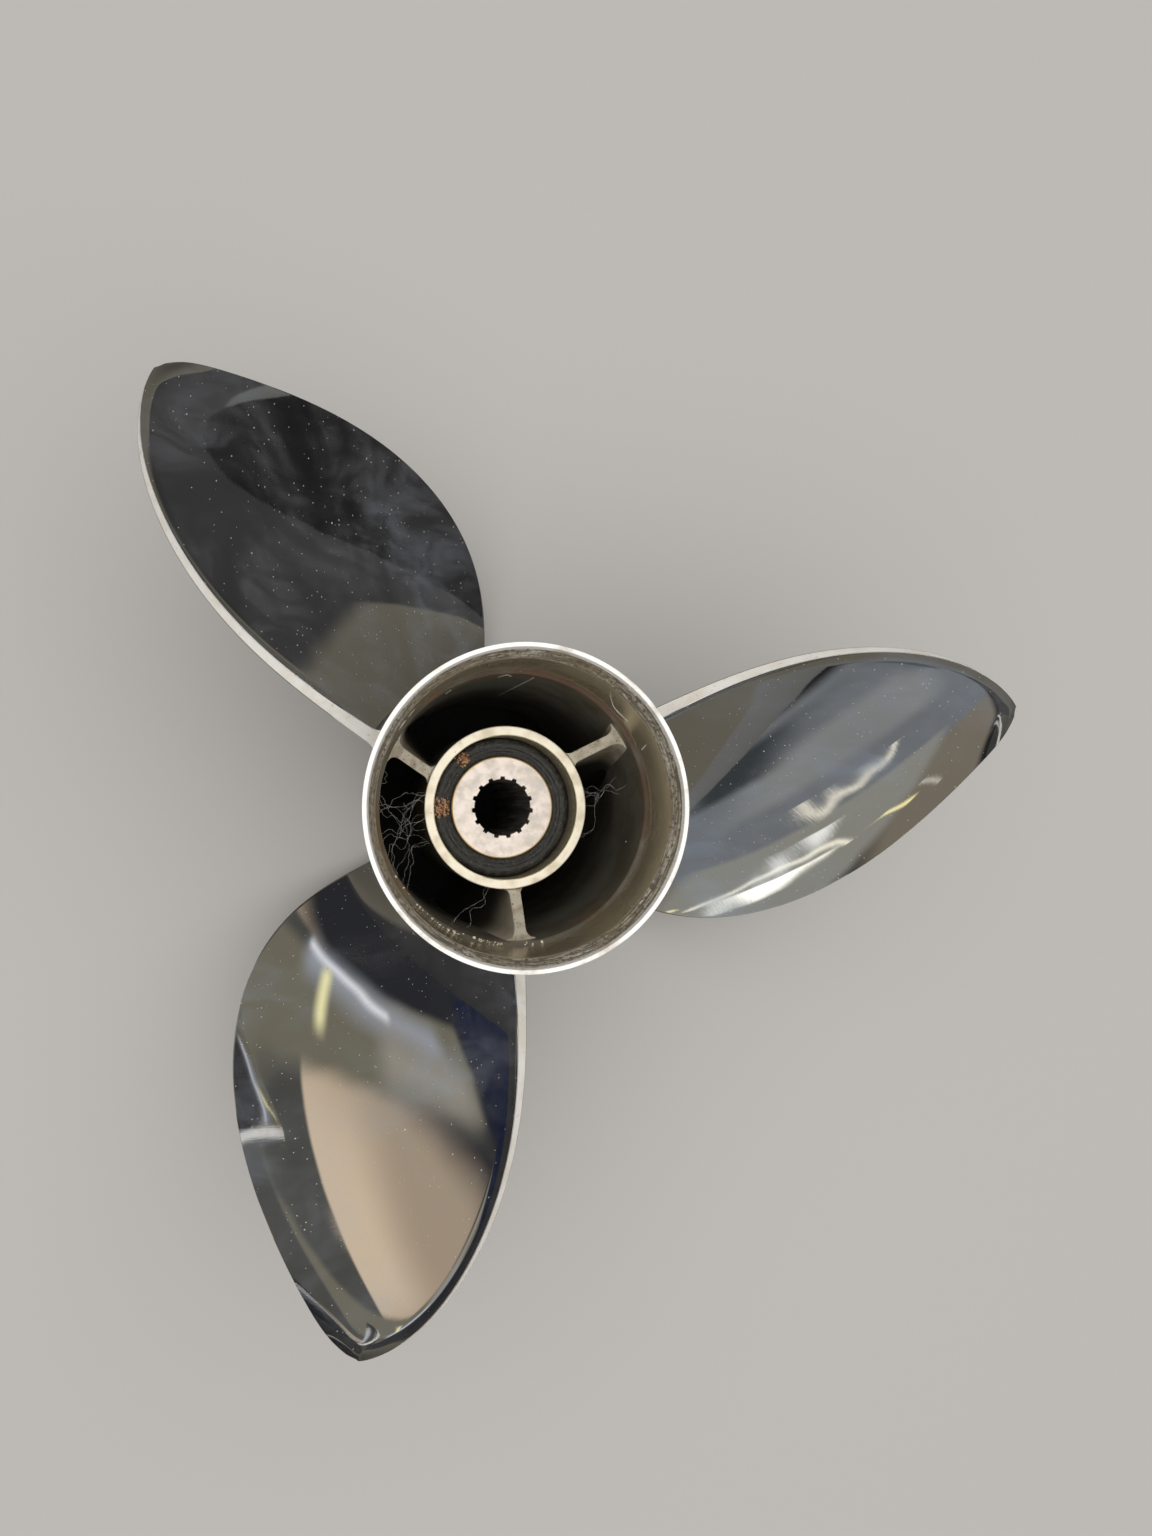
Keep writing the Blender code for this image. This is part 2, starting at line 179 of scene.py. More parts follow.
def speck_group():
    """Sparse small round specks of dust: one in a few cells of a fine cell pattern."""
    sizes = [("Scale", "Float", 260.0), ("Share", "Float", 0.1), ("Size", "Float", 0.1)]
    inputs = [("Vector", "Vector")] + sizes
    tree, given, wanted = start_group("Shader", "dust_specks", inputs, [("Mask", "Float")])
    settings = {"Vector": given["Vector"], "Scale": given["Scale"]}
    cells = add_node(tree, "ShaderNodeTexVoronoi", settings).outputs
    draw = add_node(tree, "ShaderNodeSeparateColor", {0: cells["Color"]}).outputs
    chosen = maths(tree, "LESS_THAN", draw[0], given["Share"])
    size = times(tree, given["Size"], maths(tree, "ADD", draw[1], 0.3))
    inside = maths(tree, "LESS_THAN", cells["Distance"], size)
    tree.links.new(times(tree, chosen, inside), wanted["Mask"])
    return tree


ROUND_SHAFT = round_shaft_group()
HAZE = haze_group()
SPECKS = speck_group()


def use_group(tree, group, inputs, **settings):
    return add_node(tree, "ShaderNodeGroup", inputs, node_tree=group, **settings).outputs


def round_shaft(tree, place, **inputs):
    return use_group(tree, ROUND_SHAFT, {"Vector": place, **inputs})


def haze(tree, place, scale):
    return use_group(tree, HAZE, {"Vector": place, "Scale": scale, "Cover": 0.50})["Mask"]


def specks(tree, place, scale, share, size):
    inputs = {"Vector": place, "Scale": scale, "Share": share, "Size": size}
    return use_group(tree, SPECKS, inputs)["Mask"]


def noise(tree, place, scale, detail=3.0, roughness=0.5):
    inputs = {"Vector": place, "Scale": scale, "Detail": detail, "Roughness": roughness}
    return add_node(tree, "ShaderNodeTexNoise", inputs).outputs["Fac"]


def stretched(tree, place, scale, rotation=(0.0, 0.0, 0.0)):
    """A place turned and scaled, so that a pattern read there is drawn out one way."""
    inputs = {"Vector": place, "Rotation": rotation, "Scale": scale}
    return result(tree, "ShaderNodeMapping", inputs)


def start_finish(name, metallic, colour):
    """Make a material, and give its tree, its Principled shader and its Object coordinates."""
    material = bpy.data.materials.new(name)
    material.use_nodes = True
    material.diffuse_color = (*colour, 1.0)
    tree = material.node_tree
    shader = tree.nodes["Principled BSDF"]
    shader.inputs["Metallic"].default_value = metallic
    shader.inputs["Base Color"].default_value = (*colour, 1.0)
    place = tree.nodes.new("ShaderNodeTexCoord").outputs["Object"]
    return material, tree, shader, place


def feed(shader, colour, roughness, metallic=None):
    """Link what a finish works out to its shader, or set it there if it is a plain number."""
    sources = {"Base Color": colour, "Roughness": roughness, "Metallic": metallic}
    for socket, source in sources.items():
        if isinstance(source, bpy.types.NodeSocket):
            shader.id_data.links.new(source, shader.inputs[socket])
        elif source is not None:
            shader.inputs[socket].default_value = source


def bump(tree, shader, height, depth, strength=1.0, over=None):
    """Send a height pattern to the shader's normal, on top of another bump if one is given."""
    inputs = {"Height": height, "Distance": depth, "Strength": strength}
    if over is not None:
        inputs["Normal"] = over
    normal = result(tree, "ShaderNodeBump", inputs)
    tree.links.new(normal, shader.inputs["Normal"])
    return normal


def mirror_steel():
    """Mirror-polished stainless steel, hazed in places, with dust and the buffing wheel's marks."""
    steel, hazy, dust = (0.66, 0.65, 0.63), (0.58, 0.63, 0.70), (0.62, 0.58, 0.50)
    material, tree, shader, place = start_finish("mirror_steel", 1.0, steel)
    wipes = haze(tree, stretched(tree, place, (1.0, 3.2, 1.6), (0.3, 0.2, 0.9)), 26.0)
    clouds = times(tree, haze(tree, place, 14.0), blend_values(tree, wipes, 0.25, 1.0))
    coarse = specks(tree, place, 240.0, 0.12, 0.080)
    fine = specks(tree, place, 560.0, 0.34, 0.125)
    long_cells = stretched(tree, place, (1.0, 0.08, 1.0), (0.2, 0.4, 0.7))
    scratches = specks(tree, long_cells, 750.0, 0.05, 0.08)
    spots = maths(tree, "MAXIMUM", coarse, times(tree, fine, 0.7))
    dirt = maths(tree, "MAXIMUM", spots, times(tree, scratches, 0.45))
    colour = blend_colours(tree, dirt, blend_colours(tree, clouds, steel, hazy), dust)
    roughness = blend_values(tree, dirt, blend_values(tree, clouds, 0.02, 0.048), 0.8)
    film = times(tree, clouds, 0.16)
    feed(shader, colour, roughness, inverse(tree, maths(tree, "MAXIMUM", dirt, film)))
    drawn = stretched(tree, place, (1.0, 1.0, 14.0))
    waves = bump(tree, shader, noise(tree, place, 30.0, 1.0), 0.00025, 0.4)
    bump(tree, shader, noise(tree, drawn, 190.0), 0.000003, 0.5, waves)
    return material


def ring_lip():
    """The ring's flat aft edge, ground bright."""
    bright, dull = (0.95, 0.94, 0.91), (0.64, 0.60, 0.53)
    material, tree, shader, place = start_finish("ground_ring_lip", 0.3, bright)
    patches = ramp(tree, noise(tree, place, 60.0, 5.0, 0.6), 0.48, 0.66)
    feed(shader, blend_colours(tree, patches, bright, dull), blend_values(tree, patches, 0.26, 0.40))
    return material


def cast_flare():
    """The rough cast cone inside the ring, with streaks left by a hand grinder going round it."""
    pale, dark = (0.84, 0.79, 0.69), (0.20, 0.18, 0.14)
    brown, bright = (0.34, 0.27, 0.18), (1.0, 0.97, 0.88)
    material, tree, shader, place = start_finish("cast_flare", 0.45, pale)
    polar = round_shaft(tree, place, Turns=5.0)
    streaks = noise(tree, polar["Streak"], 0.9, 5.0, 0.65)
    patches = ramp(tree, noise(tree, place, 26.0), 0.40, 0.62)
    grains = noise(tree, place, 620.0, 3.0, 0.6)
    worn = blend_colours(tree, ramp(tree, streaks, 0.40, 0.64), dark, pale)
    tinted = blend_colours(tree, times(tree, patches, 0.6), worn, brown)
    pitted = blend_colours(tree, ramp(tree, grains, 0.50, 0.38), tinted, dark)
    nibs = times(tree, ramp(tree, grains, 0.60, 0.70), ramp(tree, streaks, 0.42, 0.60))
    feed(shader, blend_colours(tree, nibs, pitted, bright), blend_values(tree, streaks, 0.30, 0.62))
    rough = bump(tree, shader, streaks, 0.0003, 0.6)
    bump(tree, shader, grains, 0.0003, 0.5, rough)
    return material


def rust_colours(tree, place, polar, metal):
    """Lay rust over a metal colour near the shoulder: thick on one side, and in patches elsewhere."""
    rust, stain = (0.120, 0.057, 0.032), (0.36, 0.23, 0.12)
    drop = maths(tree, "SUBTRACT", polar["Height"], SEAT_BOTTOM)
    ragged = times(tree, noise(tree, place, 60.0, 5.0, 0.65), 0.009)
    far = maths(tree, "ABSOLUTE", maths(tree, "ADD", drop, 0.001))
    reach = maths(tree, "SUBTRACT", far, ragged)
    near_line = inverse(tree, ramp(tree, reach, -0.0032, 0.0002))
    halo = inverse(tree, ramp(tree, reach, -0.0010, 0.0080))
    patches = maths(tree, "SUBTRACT", noise(tree, place, 30.0, 4.0, 0.6), 0.5)
    lean = maths(tree, "ADD", polar["Side"], times(tree, patches, 4.0))
    brushed = times(tree, halo, ramp(tree, patches, 0.0, 0.2))
    stained = blend_colours(tree, times(tree, brushed, 0.5), metal, stain)
    cover = times(tree, near_line, blend_values(tree, ramp(tree, lean, 0.1, 0.9), 0.0, 0.75))
    return blend_colours(tree, cover, stained, rust), cover


def turned_seat():
    """The band turned smooth inside the ring, browned by heat and exhaust."""
    olive, brown = (0.55, 0.49, 0.35), (0.34, 0.29, 0.20)
    material, tree, shader, place = start_finish("turned_seat", 0.7, olive)
    polar = round_shaft(tree, place, Turns=3.0, Towards=RUSTY_SIDE)
    lines = noise(tree, polar["Streak"], 2.2, 3.0, 0.6)
    patches = ramp(tree, noise(tree, place, 28.0), 0.38, 0.66)
    metal = blend_colours(tree, times(tree, patches, lines), olive, brown)
    colour, rusty = rust_colours(tree, place, polar, metal)
    roughness = blend_values(tree, rusty, blend_values(tree, patches, 0.20, 0.34), 0.75)
    feed(shader, colour, roughness, blend_values(tree, rusty, 0.7, 0.1))
    bump(tree, shader, lines, 0.0001, 0.4)
    return material


def cast_bore():
    """The bore and the passages, as cast: dull, brown with exhaust, and rusty at the shoulder."""
    grey, brown = (0.26, 0.245, 0.20), (0.14, 0.125, 0.095)
    material, tree, shader, place = start_finish("cast_bore", 0.6, grey)
    polar = round_shaft(tree, place, Turns=9.0, Towards=RUSTY_SIDE)
    patches = ramp(tree, noise(tree, place, 42.0, 4.0), 0.36, 0.66)
    colour, rusty = rust_colours(tree, place, polar, blend_colours(tree, patches, grey, brown))
    roughness = blend_values(tree, patches, 0.34, 0.50)
    feed(shader, colour, roughness, blend_values(tree, rusty, 0.6, 0.1))
    bump(tree, shader, noise(tree, place, 700.0, 4.0), 0.0002, 0.6)
    return material


def shell_outside(height):
    """Outside radius of the hub shell: a slow barrel shape that flares out into the aft ring."""
    body_share = math.sin(0.5 * math.pi * min(max(height / FLARE_START, 0.0), 1.0))
    body = FRONT_RADIUS + (BODY_RADIUS - FRONT_RADIUS) * body_share
    flare_share = max(0.0, (height - FLARE_START) / FLARE_LENGTH)
    return body + (RING_RADIUS - BODY_RADIUS) * flare_share ** 2


def on_circle(radius, angle, height):
    return radius * math.cos(angle), radius * math.sin(angle), height


def round_off(before, corner, after, rounding, support, steps):
    """A short curve in place of a corner, with a support point at each end of it."""
    back = (before - corner).normalized()
    on = (after - corner).normalized()
    curve = []
    for step in range(steps + 1):
        share = step / steps
        near = (corner + back * rounding).lerp(corner, share)
        curve.append(near.lerp(corner.lerp(corner + on * rounding, share), share))
    return [corner + back * support] + curve + [corner + on * support]


def soften(outline, steps=5):
    """Round the corners of a closed outline of (radius, height, rounding, finish) points."""
    points = []
    for index, (radius, height, rounding, finish) in enumerate(outline):
        corner = Vector((radius, height))
        if rounding == 0.0:
            points.append((corner, finish))
            continue
        before = Vector(outline[index - 1][:2])
        after = Vector(outline[(index + 1) % len(outline)][:2])
        first, *curve = round_off(before, corner, after, rounding, rounding + SUPPORT, steps)
        points.append((first, outline[index - 1][3]))
        points += [(point, finish) for point in curve]
    return points


def outward(mesh):
    """Weld doubles and turn every face outwards."""
    builder = bmesh.new()
    builder.from_mesh(mesh)
    bmesh.ops.remove_doubles(builder, verts=builder.verts, dist=WELD)
    bmesh.ops.recalc_face_normals(builder, faces=builder.faces)
    builder.to_mesh(mesh)
    builder.free()


def mesh_of(name, corners, edges, faces):
    mesh = bpy.data.meshes.new(name)
    mesh.from_pydata(corners, edges, faces)
    return mesh


def place_piece(name, mesh, stands_for=None, crease=38.0):
    """Make a finished piece of a mesh, smooth but for its sharp edges, riding on the body."""
    mesh.shade_smooth()
    mesh.set_sharp_from_angle(angle=math.radians(crease))
    piece = bpy.data.objects.new(name, mesh)
    bpy.context.scene.collection.objects.link(piece)
    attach(piece, "root")
    if stands_for is not None:
        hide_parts(stands_for)


def turned_mesh(name, outline, finishes, segments):
    """Spin a closed outline about the shaft axis, each step of it in its own finish."""
    points = soften(outline)
    count = len(points)
    corners = []
    faces = []
    for turn in range(segments):
        angle = 2.0 * math.pi * turn / segments
        corners += [on_circle(radius, angle, height) for (radius, height), finish in points]
        near, far = turn * count, (turn + 1) % segments * count
        for index in range(count):
            after = (index + 1) % count
            faces.append((near + index, far + index, far + after, near + after))
    mesh = mesh_of(name, corners, [], faces)
    mesh.polygons.foreach_set("material_index", [finish for point, finish in points] * segments)
    for finish in finishes:
        mesh.materials.append(finish)
    outward(mesh)
    return mesh


# The shell's inside, down from the lip: radius, height, rounding and the finish that starts there.
shell_inside = (
    (RING_RADIUS - LIP_WIDTH - LIP_BEVEL_WIDTH, HUB_LENGTH - LIP_BEVEL_DEPTH, 0.0, FLARE),
    (BODY_RADIUS - SEAT_AFT_WALL, HUB_LENGTH - CONE_DEPTH, LIP_ROUND, SEAT),
    (BODY_RADIUS - SEAT_FRONT_WALL, SEAT_BOTTOM, LIP_ROUND, BORE),
    (BODY_RADIUS - SHELL_WALL, SEAT_BOTTOM - SHELL_WALL + SEAT_FRONT_WALL, STEP_ROUND, BORE),
    (FRONT_RADIUS - SHELL_WALL, RIM_ROUND, RIM_ROUND, BORE),
)


def shell_outline():
    """Closed outline of the shell: up the outside, over the lip, and down the bore."""
    heights = [FLARE_START * step / BODY_STEPS for step in range(1, BODY_STEPS)]
    flare = FLARE_LENGTH - 3.0 * LIP_ROUND
    heights += [FLARE_START + flare * step / FLARE_STEPS for step in range(FLARE_STEPS + 1)]
    points = [(FRONT_RADIUS, 0.0, RIM_ROUND, MIRROR)]
    points += [(shell_outside(height), height, 0.0, MIRROR) for height in heights]
    points.append((RING_RADIUS, HUB_LENGTH, LIP_ROUND, LIP))
    points.append((RING_RADIUS - LIP_WIDTH, HUB_LENGTH, LIP_ROUND, LIP))
    points += shell_inside
    points.append((FRONT_RADIUS - SHELL_WALL + RIM_ROUND, 0.0, 0.0, MIRROR))
    return points


MIRROR_STEEL = mirror_steel()
CAST_BORE = cast_bore()
shell_finishes = [MIRROR_STEEL, ring_lip(), cast_flare(), turned_seat(), CAST_BORE]
shell_mesh = turned_mesh("hub_shell", shell_outline(), shell_finishes, SHELL_SEGMENTS)
place_piece("hub_shell", shell_mesh, "propeller_casting")


# Inner barrel. The thick-walled tube in the middle of the casting that holds the bushing. Its aft
# rim is faced off and its bore is turned, and the outside is left as cast.
BARREL_RADIUS = 0.0335
BARREL_WALL = 0.0040
BARREL_DROP = 0.0543
BARREL_ROUND = 0.0005
FRONT_RECESS = 0.0030
BARREL_TOP = HUB_LENGTH - BARREL_DROP
BARREL_BORE = BARREL_RADIUS - BARREL_WALL
BARREL_SEGMENTS = 192


def faced_rim():
    """The barrel's aft rim, faced off: cream satin steel with brown freckles."""
    cream, tan = (0.86, 0.80, 0.65), (0.60, 0.48, 0.31)
    material, tree, shader, place = start_finish("faced_rim", 0.5, cream)
    patches = ramp(tree, noise(tree, place, 150.0, 4.0), 0.42, 0.74)
    freckles = times(tree, specks(tree, place, 520.0, 0.12, 0.2), 0.7)
    tinted = blend_colours(tree, times(tree, patches, 0.5), cream, tan)
    feed(shader, blend_colours(tree, freckles, tinted, tan), blend_values(tree, patches, 0.34, 0.50))
    bump(tree, shader, noise(tree, place, 900.0), 0.00005, 0.5)
    return material


def turned_bore():
    """The barrel's turned bore above the rubber: olive brown and reflective."""
    olive, dark = (0.66, 0.59, 0.42), (0.32, 0.27, 0.18)
    material, tree, shader, place = start_finish("turned_bore", 0.6, olive)
    polar = round_shaft(tree, place, Turns=3.0)
    lines = noise(tree, polar["Streak"], 2.6)
    colour = blend_colours(tree, ramp(tree, lines, 0.4, 0.7), olive, dark)
    feed(shader, colour, blend_values(tree, lines, 0.20, 0.36))
    bump(tree, shader, lines, 0.0001, 0.5)
    return material


barrel_outline = [
    (BARREL_RADIUS, FRONT_RECESS, BARREL_ROUND, 0),
    (BARREL_RADIUS, BARREL_TOP, BARREL_ROUND, 1),
    (BARREL_BORE, BARREL_TOP, BARREL_ROUND, 2),
    (BARREL_BORE, FRONT_RECESS, BARREL_ROUND, 0),
]
barrel_finishes = [CAST_BORE, faced_rim(), turned_bore()]
barrel_mesh = turned_mesh("hub_barrel", barrel_outline, barrel_finishes, BARREL_SEGMENTS)
place_piece("hub_barrel", barrel_mesh, "propeller_casting")


# Webs. Three cast plates on a slow helix that carry the barrel in the shell. The exhaust passes
# between them. Their aft edges slope down to the barrel and are ground, and the sides are as cast.
WEB_COUNT = 3
WEB_THICKNESS = 0.0046
WEB_OUTER_DROP = 0.0360
WEB_INNER_DROP = 0.0580
WEB_ANGLE = 33.5
WEB_TWIST = 26.0
WEB_LEAN = 8.0
WEB_FRONT_RECESS = 0.0120
WEB_SHELL_FILLET = 0.0040
WEB_BARREL_FILLET = 0.0025
WEB_EDGE_ROUND = 0.0005
# Heights between which the webs' painted shade fades out upwards.
WEB_SHADE_BELOW = 0.074
WEB_UNSHADED_ABOVE = 0.108
WEB_STEPS_OUT = 30
WEB_STEPS_UP = 30
WEB_ROUND_STEPS = 5


def finished(tree, geometry, finish, **only):
    inputs = {"Geometry": geometry, "Material": finish, **only}
    return result(tree, "GeometryNodeSetMaterial", inputs)


def round_the_shaft_tree():
    """Geometry nodes that set copies of a blank round the shaft and weld what meets."""
    inputs = [("Blank", "Geometry"), ("Count", "Int"), ("Weld Distance", "Float")]
    inputs += [("Finish", "Material"), ("Edge Finish", "Material")]
    tree, given, wanted = start_group(
        "Geometry", "set_round_the_shaft", inputs, [("Set", "Geometry")]
    )
    seats = result(tree, "GeometryNodePoints", {"Count": given["Count"]})
    index = result(tree, "GeometryNodeInputIndex")
    pitch = maths(tree, "DIVIDE", 2.0 * math.pi, given["Count"])
    turn = result(tree, "ShaderNodeCombineXYZ", {"Z": times(tree, index, pitch)})
    turned = result(tree, "FunctionNodeEulerToRotation", {0: turn})
    copying = {"Points": seats, "Instance": given["Blank"], "Rotation": turned}
    copies = result(tree, "GeometryNodeInstanceOnPoints", copying)
    real = result(tree, "GeometryNodeRealizeInstances", {0: copies})
    welding = {"Geometry": real, "Distance": given["Weld Distance"]}
    body = finished(tree, result(tree, "GeometryNodeMergeByDistance", welding), given["Finish"])
    edge = result(tree, "GeometryNodeInputNamedAttribute", {"Name": "edge"}, data_type="BOOLEAN")
    tree.links.new(finished(tree, body, given["Edge Finish"], Selection=edge), wanted["Set"])
    return tree


ROUND_THE_SHAFT = round_the_shaft_tree()


def grid_mesh(name, rows, edge_columns, capped=True):
    """Join rows of points into a skin, and mark the faces of some columns as its edge."""
    builder = bmesh.new()
    edge = builder.faces.layers.bool.new("edge")
    made = [[builder.verts.new(point) for point in row] for row in rows]
    count = len(rows[0])
    for near, far in zip(made, made[1:]):
        for index in range(count):
            after = (index + 1) % count
            face = builder.faces.new((near[index], near[after], far[after], far[index]))
            face[edge] = index in edge_columns
    if capped:
        builder.faces.new(made[0])
        builder.faces.new(made[-1])
        bmesh.ops.recalc_face_normals(builder, faces=builder.faces)
    mesh = bpy.data.meshes.new(name)
    builder.to_mesh(mesh)
    builder.free()
    return mesh


def run_nodes(name, start_mesh, tree, values):
    """Run geometry nodes on a mesh, with inputs given by name, and give a plain mesh."""
    start = bpy.data.objects.new(name, start_mesh)
    bpy.context.scene.collection.objects.link(start)
    modifier = start.modifiers.new(tree.name, "NODES")
    modifier.node_group = tree
    for item in tree.interface.items_tree:
        if item.in_out == "INPUT" and item.name in values:
            modifier[item.identifier] = values[item.name]
    seen = start.evaluated_get(bpy.context.evaluated_depsgraph_get())
    mesh = bpy.data.meshes.new_from_object(seen)
    start.modifiers.remove(modifier)
    bpy.data.objects.remove(start, do_unlink=True)
    return mesh


def set_round(name, blank_mesh, count, finish, edge_finish, weld=0.0):
    """Set copies of a blank round the shaft."""
    values = {"Count": count, "Weld Distance": weld, "Finish": finish, "Edge Finish": edge_finish}
    return run_nodes(name, blank_mesh, ROUND_THE_SHAFT, values)


def quarter_round(gap, fillet):
    """How far a fillet stands out at a distance from the wall it runs into."""
    share = min(max(gap / fillet, 0.0), 1.0)
    return fillet * (1.0 - math.sqrt(1.0 - (1.0 - share) ** 2))


def web_blank():
    """One web: rings of points from the barrel out to the shell, each ring round the plate."""
    inner = BARREL_RADIUS - 0.5 * BARREL_WALL
    top_outer = HUB_LENGTH - WEB_OUTER_DROP
    top_inner = HUB_LENGTH - WEB_INNER_DROP
    rows = []
    for out in range(WEB_STEPS_OUT + 1):
        share_out = 0.5 - 0.5 * math.cos(math.pi * out / WEB_STEPS_OUT)
        straight = top_inner + (top_outer - top_inner) * share_out - WEB_EDGE_ROUND
        levels = []
        for up in range(WEB_STEPS_UP + 1):
            levels.append((WEB_FRONT_RECESS + (straight - WEB_FRONT_RECESS) * up / WEB_STEPS_UP, 0.0))
        for step in range(1, WEB_ROUND_STEPS + 1):
            turn = 0.5 * math.pi * step / WEB_ROUND_STEPS
            lift = WEB_EDGE_ROUND * math.sin(turn)
            levels.append((straight + lift, WEB_EDGE_ROUND * (1.0 - math.cos(turn))))
        sides = ([], [])
        for height, shrink in levels:
            bore = FRONT_RADIUS - SHELL_WALL
            bore += (BODY_RADIUS - FRONT_RADIUS) * min(height / SEAT_BOTTOM, 1.0)
            radius = inner + (bore + 0.5 * SHELL_WALL - inner) * share_out
            half = 0.5 * WEB_THICKNESS - shrink
            half += quarter_round(radius - BARREL_RADIUS, WEB_BARREL_FILLET)
            half += quarter_round(bore - radius, WEB_SHELL_FILLET)
            middle = WEB_ANGLE + WEB_LEAN * (1.0 - share_out)
            middle -= WEB_TWIST * (top_outer - height) / top_outer
            for side, sign in zip(sides, (-1.0, 1.0)):
                side.append(on_circle(radius, math.radians(middle) + sign * half / radius, height))
        rows.append(sides[0] + sides[1][::-1])
    level_count = WEB_STEPS_UP + 1 + WEB_ROUND_STEPS
    return grid_mesh("web_blank", rows, range(WEB_STEPS_UP, 2 * level_count - WEB_STEPS_UP - 1))


def web_side_finish():
    """A web's side, as cast: beige satin with a soft sheen, darkened further down by painted shade."""
    beige, brown, painted_shade = (0.74, 0.67, 0.54), (0.38, 0.31, 0.22), (0.07, 0.062, 0.05)
    material, tree, shader, place = start_finish("cast_web", 0.5, beige)
    patches = ramp(tree, noise(tree, place, 60.0, 4.0), 0.38, 0.70)
    height = round_shaft(tree, place)["Height"]
    # Painted shade: the side darkens lower down, towards the shadowed passages.
    unshaded = ramp(tree, height, WEB_SHADE_BELOW, WEB_UNSHADED_ABOVE)
    worn = blend_colours(tree, patches, beige, brown)
    feed(shader, blend_colours(tree, unshaded, painted_shade, worn), blend_values(tree, patches, 0.36, 0.50))
    bump(tree, shader, noise(tree, place, 620.0), 0.0002, 0.5)
    return material


def web_edge_finish():
    """A web's aft edge, ground to pale satin and pitted with casting pores."""
    pale, tan, pore = (0.80, 0.74, 0.62), (0.50, 0.43, 0.33), (0.10, 0.08, 0.06)
    material, tree, shader, place = start_finish("ground_web_edge", 0.4, pale)
    patches = ramp(tree, noise(tree, place, 170.0, 4.0), 0.42, 0.70)
    pores = specks(tree, place, 1100.0, 0.35, 0.30)
    worn = blend_colours(tree, patches, pale, tan)
    feed(shader, blend_colours(tree, pores, worn, pore), blend_values(tree, patches, 0.34, 0.52))
    bump(tree, shader, inverse(tree, pores), 0.00015, 0.6)
    return material


web_mesh = set_round("hub_webs", web_blank(), WEB_COUNT, web_side_finish(), web_edge_finish())
place_piece("hub_webs", web_mesh, "propeller_casting")


# Blades. Three wide, raked and cupped blades, cast in one with the shell. Their faces are mirror
# polished, and the flat trailing edge is ground to a cream satin band between two fine edges.
BLADE_COUNT = 3
TIP_RADIUS = 0.1938
TRAILING_ANGLE = 30.7
TRAILING_SWEEP = 15.712
SWEEP_POWER = 2.15
TIP_TURN = 2.3
TIP_TURN_POWER = 14.0
CORNER_TURN = 1.2
CORNER_POWER = 36.0
ROOT_WIDTH_ANGLE = 56.5
WIDTH_POWER = 2.3
TIP_ROUNDING_ANGLE = 30.0
TIP_TRIM = 0.00008
TRAILING_DROP = 0.0416
RAKE_ANGLE = 27.0
RAKE_DROOP = 0.0120
ROOT_PITCH = 0.586
TIP_PITCH = 0.826
FACE_HOLLOW = 0.030
CUP_DEPTH = 0.0012
CUP_WIDTH = 0.0065
CUP_START = 0.33
CUP_LIMIT = 0.25
ROOT_THICKNESS = 0.0125
TIP_THICKNESS = 0.0046
THINNING_POWER = 1.4
ROOT_TRAILING_THICKNESS = 0.0068
TIP_TRAILING_THICKNESS = 0.0046
TRAILING_THINNING_POWER = 3.6
TIP_THINNING = 0.6
TIP_THINNING_POWER = 10.0
THICKEST_SHARE = 0.55
NOSE_POWER = 0.62
NOSE_ROUND = 0.0007
NOSE_THICKNESS_LIMIT = 0.18
NOSE_CHORD_LIMIT = 0.2
EDGE_ROUND = 0.0004
EDGE_THICKNESS_LIMIT = 0.22
EDGE_SUPPORT = 1.35
EDGE_CLEARANCE = 1.6
ROOT_FILLET = 0.0060
FILLET_RISE = 0.30
ROOT_SINK = 0.0024
ROOT_FADE = 0.0240
CHORD_POINTS = 52
CHORD_CROWDING = 1.8
CUP_POINTS = 10
EDGE_STEPS = 4
FILLET_STEPS = 14
SPAN_STATIONS = 84
SPAN_CROWDING = 1.9


def smooth_step(share):
    share = min(max(share, 0.0), 1.0)
    return share * share * (3.0 - 2.0 * share)


def blade_share(radius):
    """How far out along the blade a radius lies, from 0 at the ring to 1 at the tip."""
    return max(0.0, (radius - RING_RADIUS) / (TIP_RADIUS - RING_RADIUS))


def blade_edges(radius):
    """Angle and height of the trailing edge, then of the leading edge, at one radius."""
    share = blade_share(radius)
    sweep = TRAILING_SWEEP * share ** SWEEP_POWER + TIP_TURN * share ** TIP_TURN_POWER
    corner = share ** CORNER_POWER
    body_width = math.radians(ROOT_WIDTH_ANGLE) * (1.0 - share ** WIDTH_POWER)
    round_width = math.radians(TIP_ROUNDING_ANGLE) * math.sqrt(1.0 - share ** 2)
    line = math.radians(TRAILING_ANGLE - sweep)
    trailing = line - math.radians(CORNER_TURN) * (1.0 - math.sqrt(1.0 - corner))
    leading = line - math.radians(CORNER_TURN) * corner - math.hypot(body_width, round_width)
    rise = math.tan(math.radians(RAKE_ANGLE)) * (radius - RING_RADIUS)
    trailing_height = HUB_LENGTH - TRAILING_DROP + rise - RAKE_DROOP * share ** 2
    advance = (ROOT_PITCH + (TIP_PITCH - ROOT_PITCH) * share) / (2.0 * math.pi)
    return trailing, trailing_height, leading, trailing_height - advance * (trailing - leading)


def blade_thickness(share, along):
    """Thickness at a share of the span and a share of the chord from the leading edge."""
    left = 1.0 - share
    thickest = TIP_THICKNESS + (ROOT_THICKNESS - TIP_THICKNESS) * left ** THINNING_POWER
    trailing_gain = ROOT_TRAILING_THICKNESS - TIP_TRAILING_THICKNESS
    trailing = TIP_TRAILING_THICKNESS + trailing_gain * left ** TRAILING_THINNING_POWER
    if along < THICKEST_SHARE:
        nose = 1.0 - along / THICKEST_SHARE
        body = thickest * (1.0 - nose * nose) ** NOSE_POWER
    else:
        fall = smooth_step((along - THICKEST_SHARE) / (1.0 - THICKEST_SHARE))
        body = thickest + (trailing - thickest) * fall
    return body * (1.0 - TIP_THINNING * share ** TIP_THINNING_POWER)


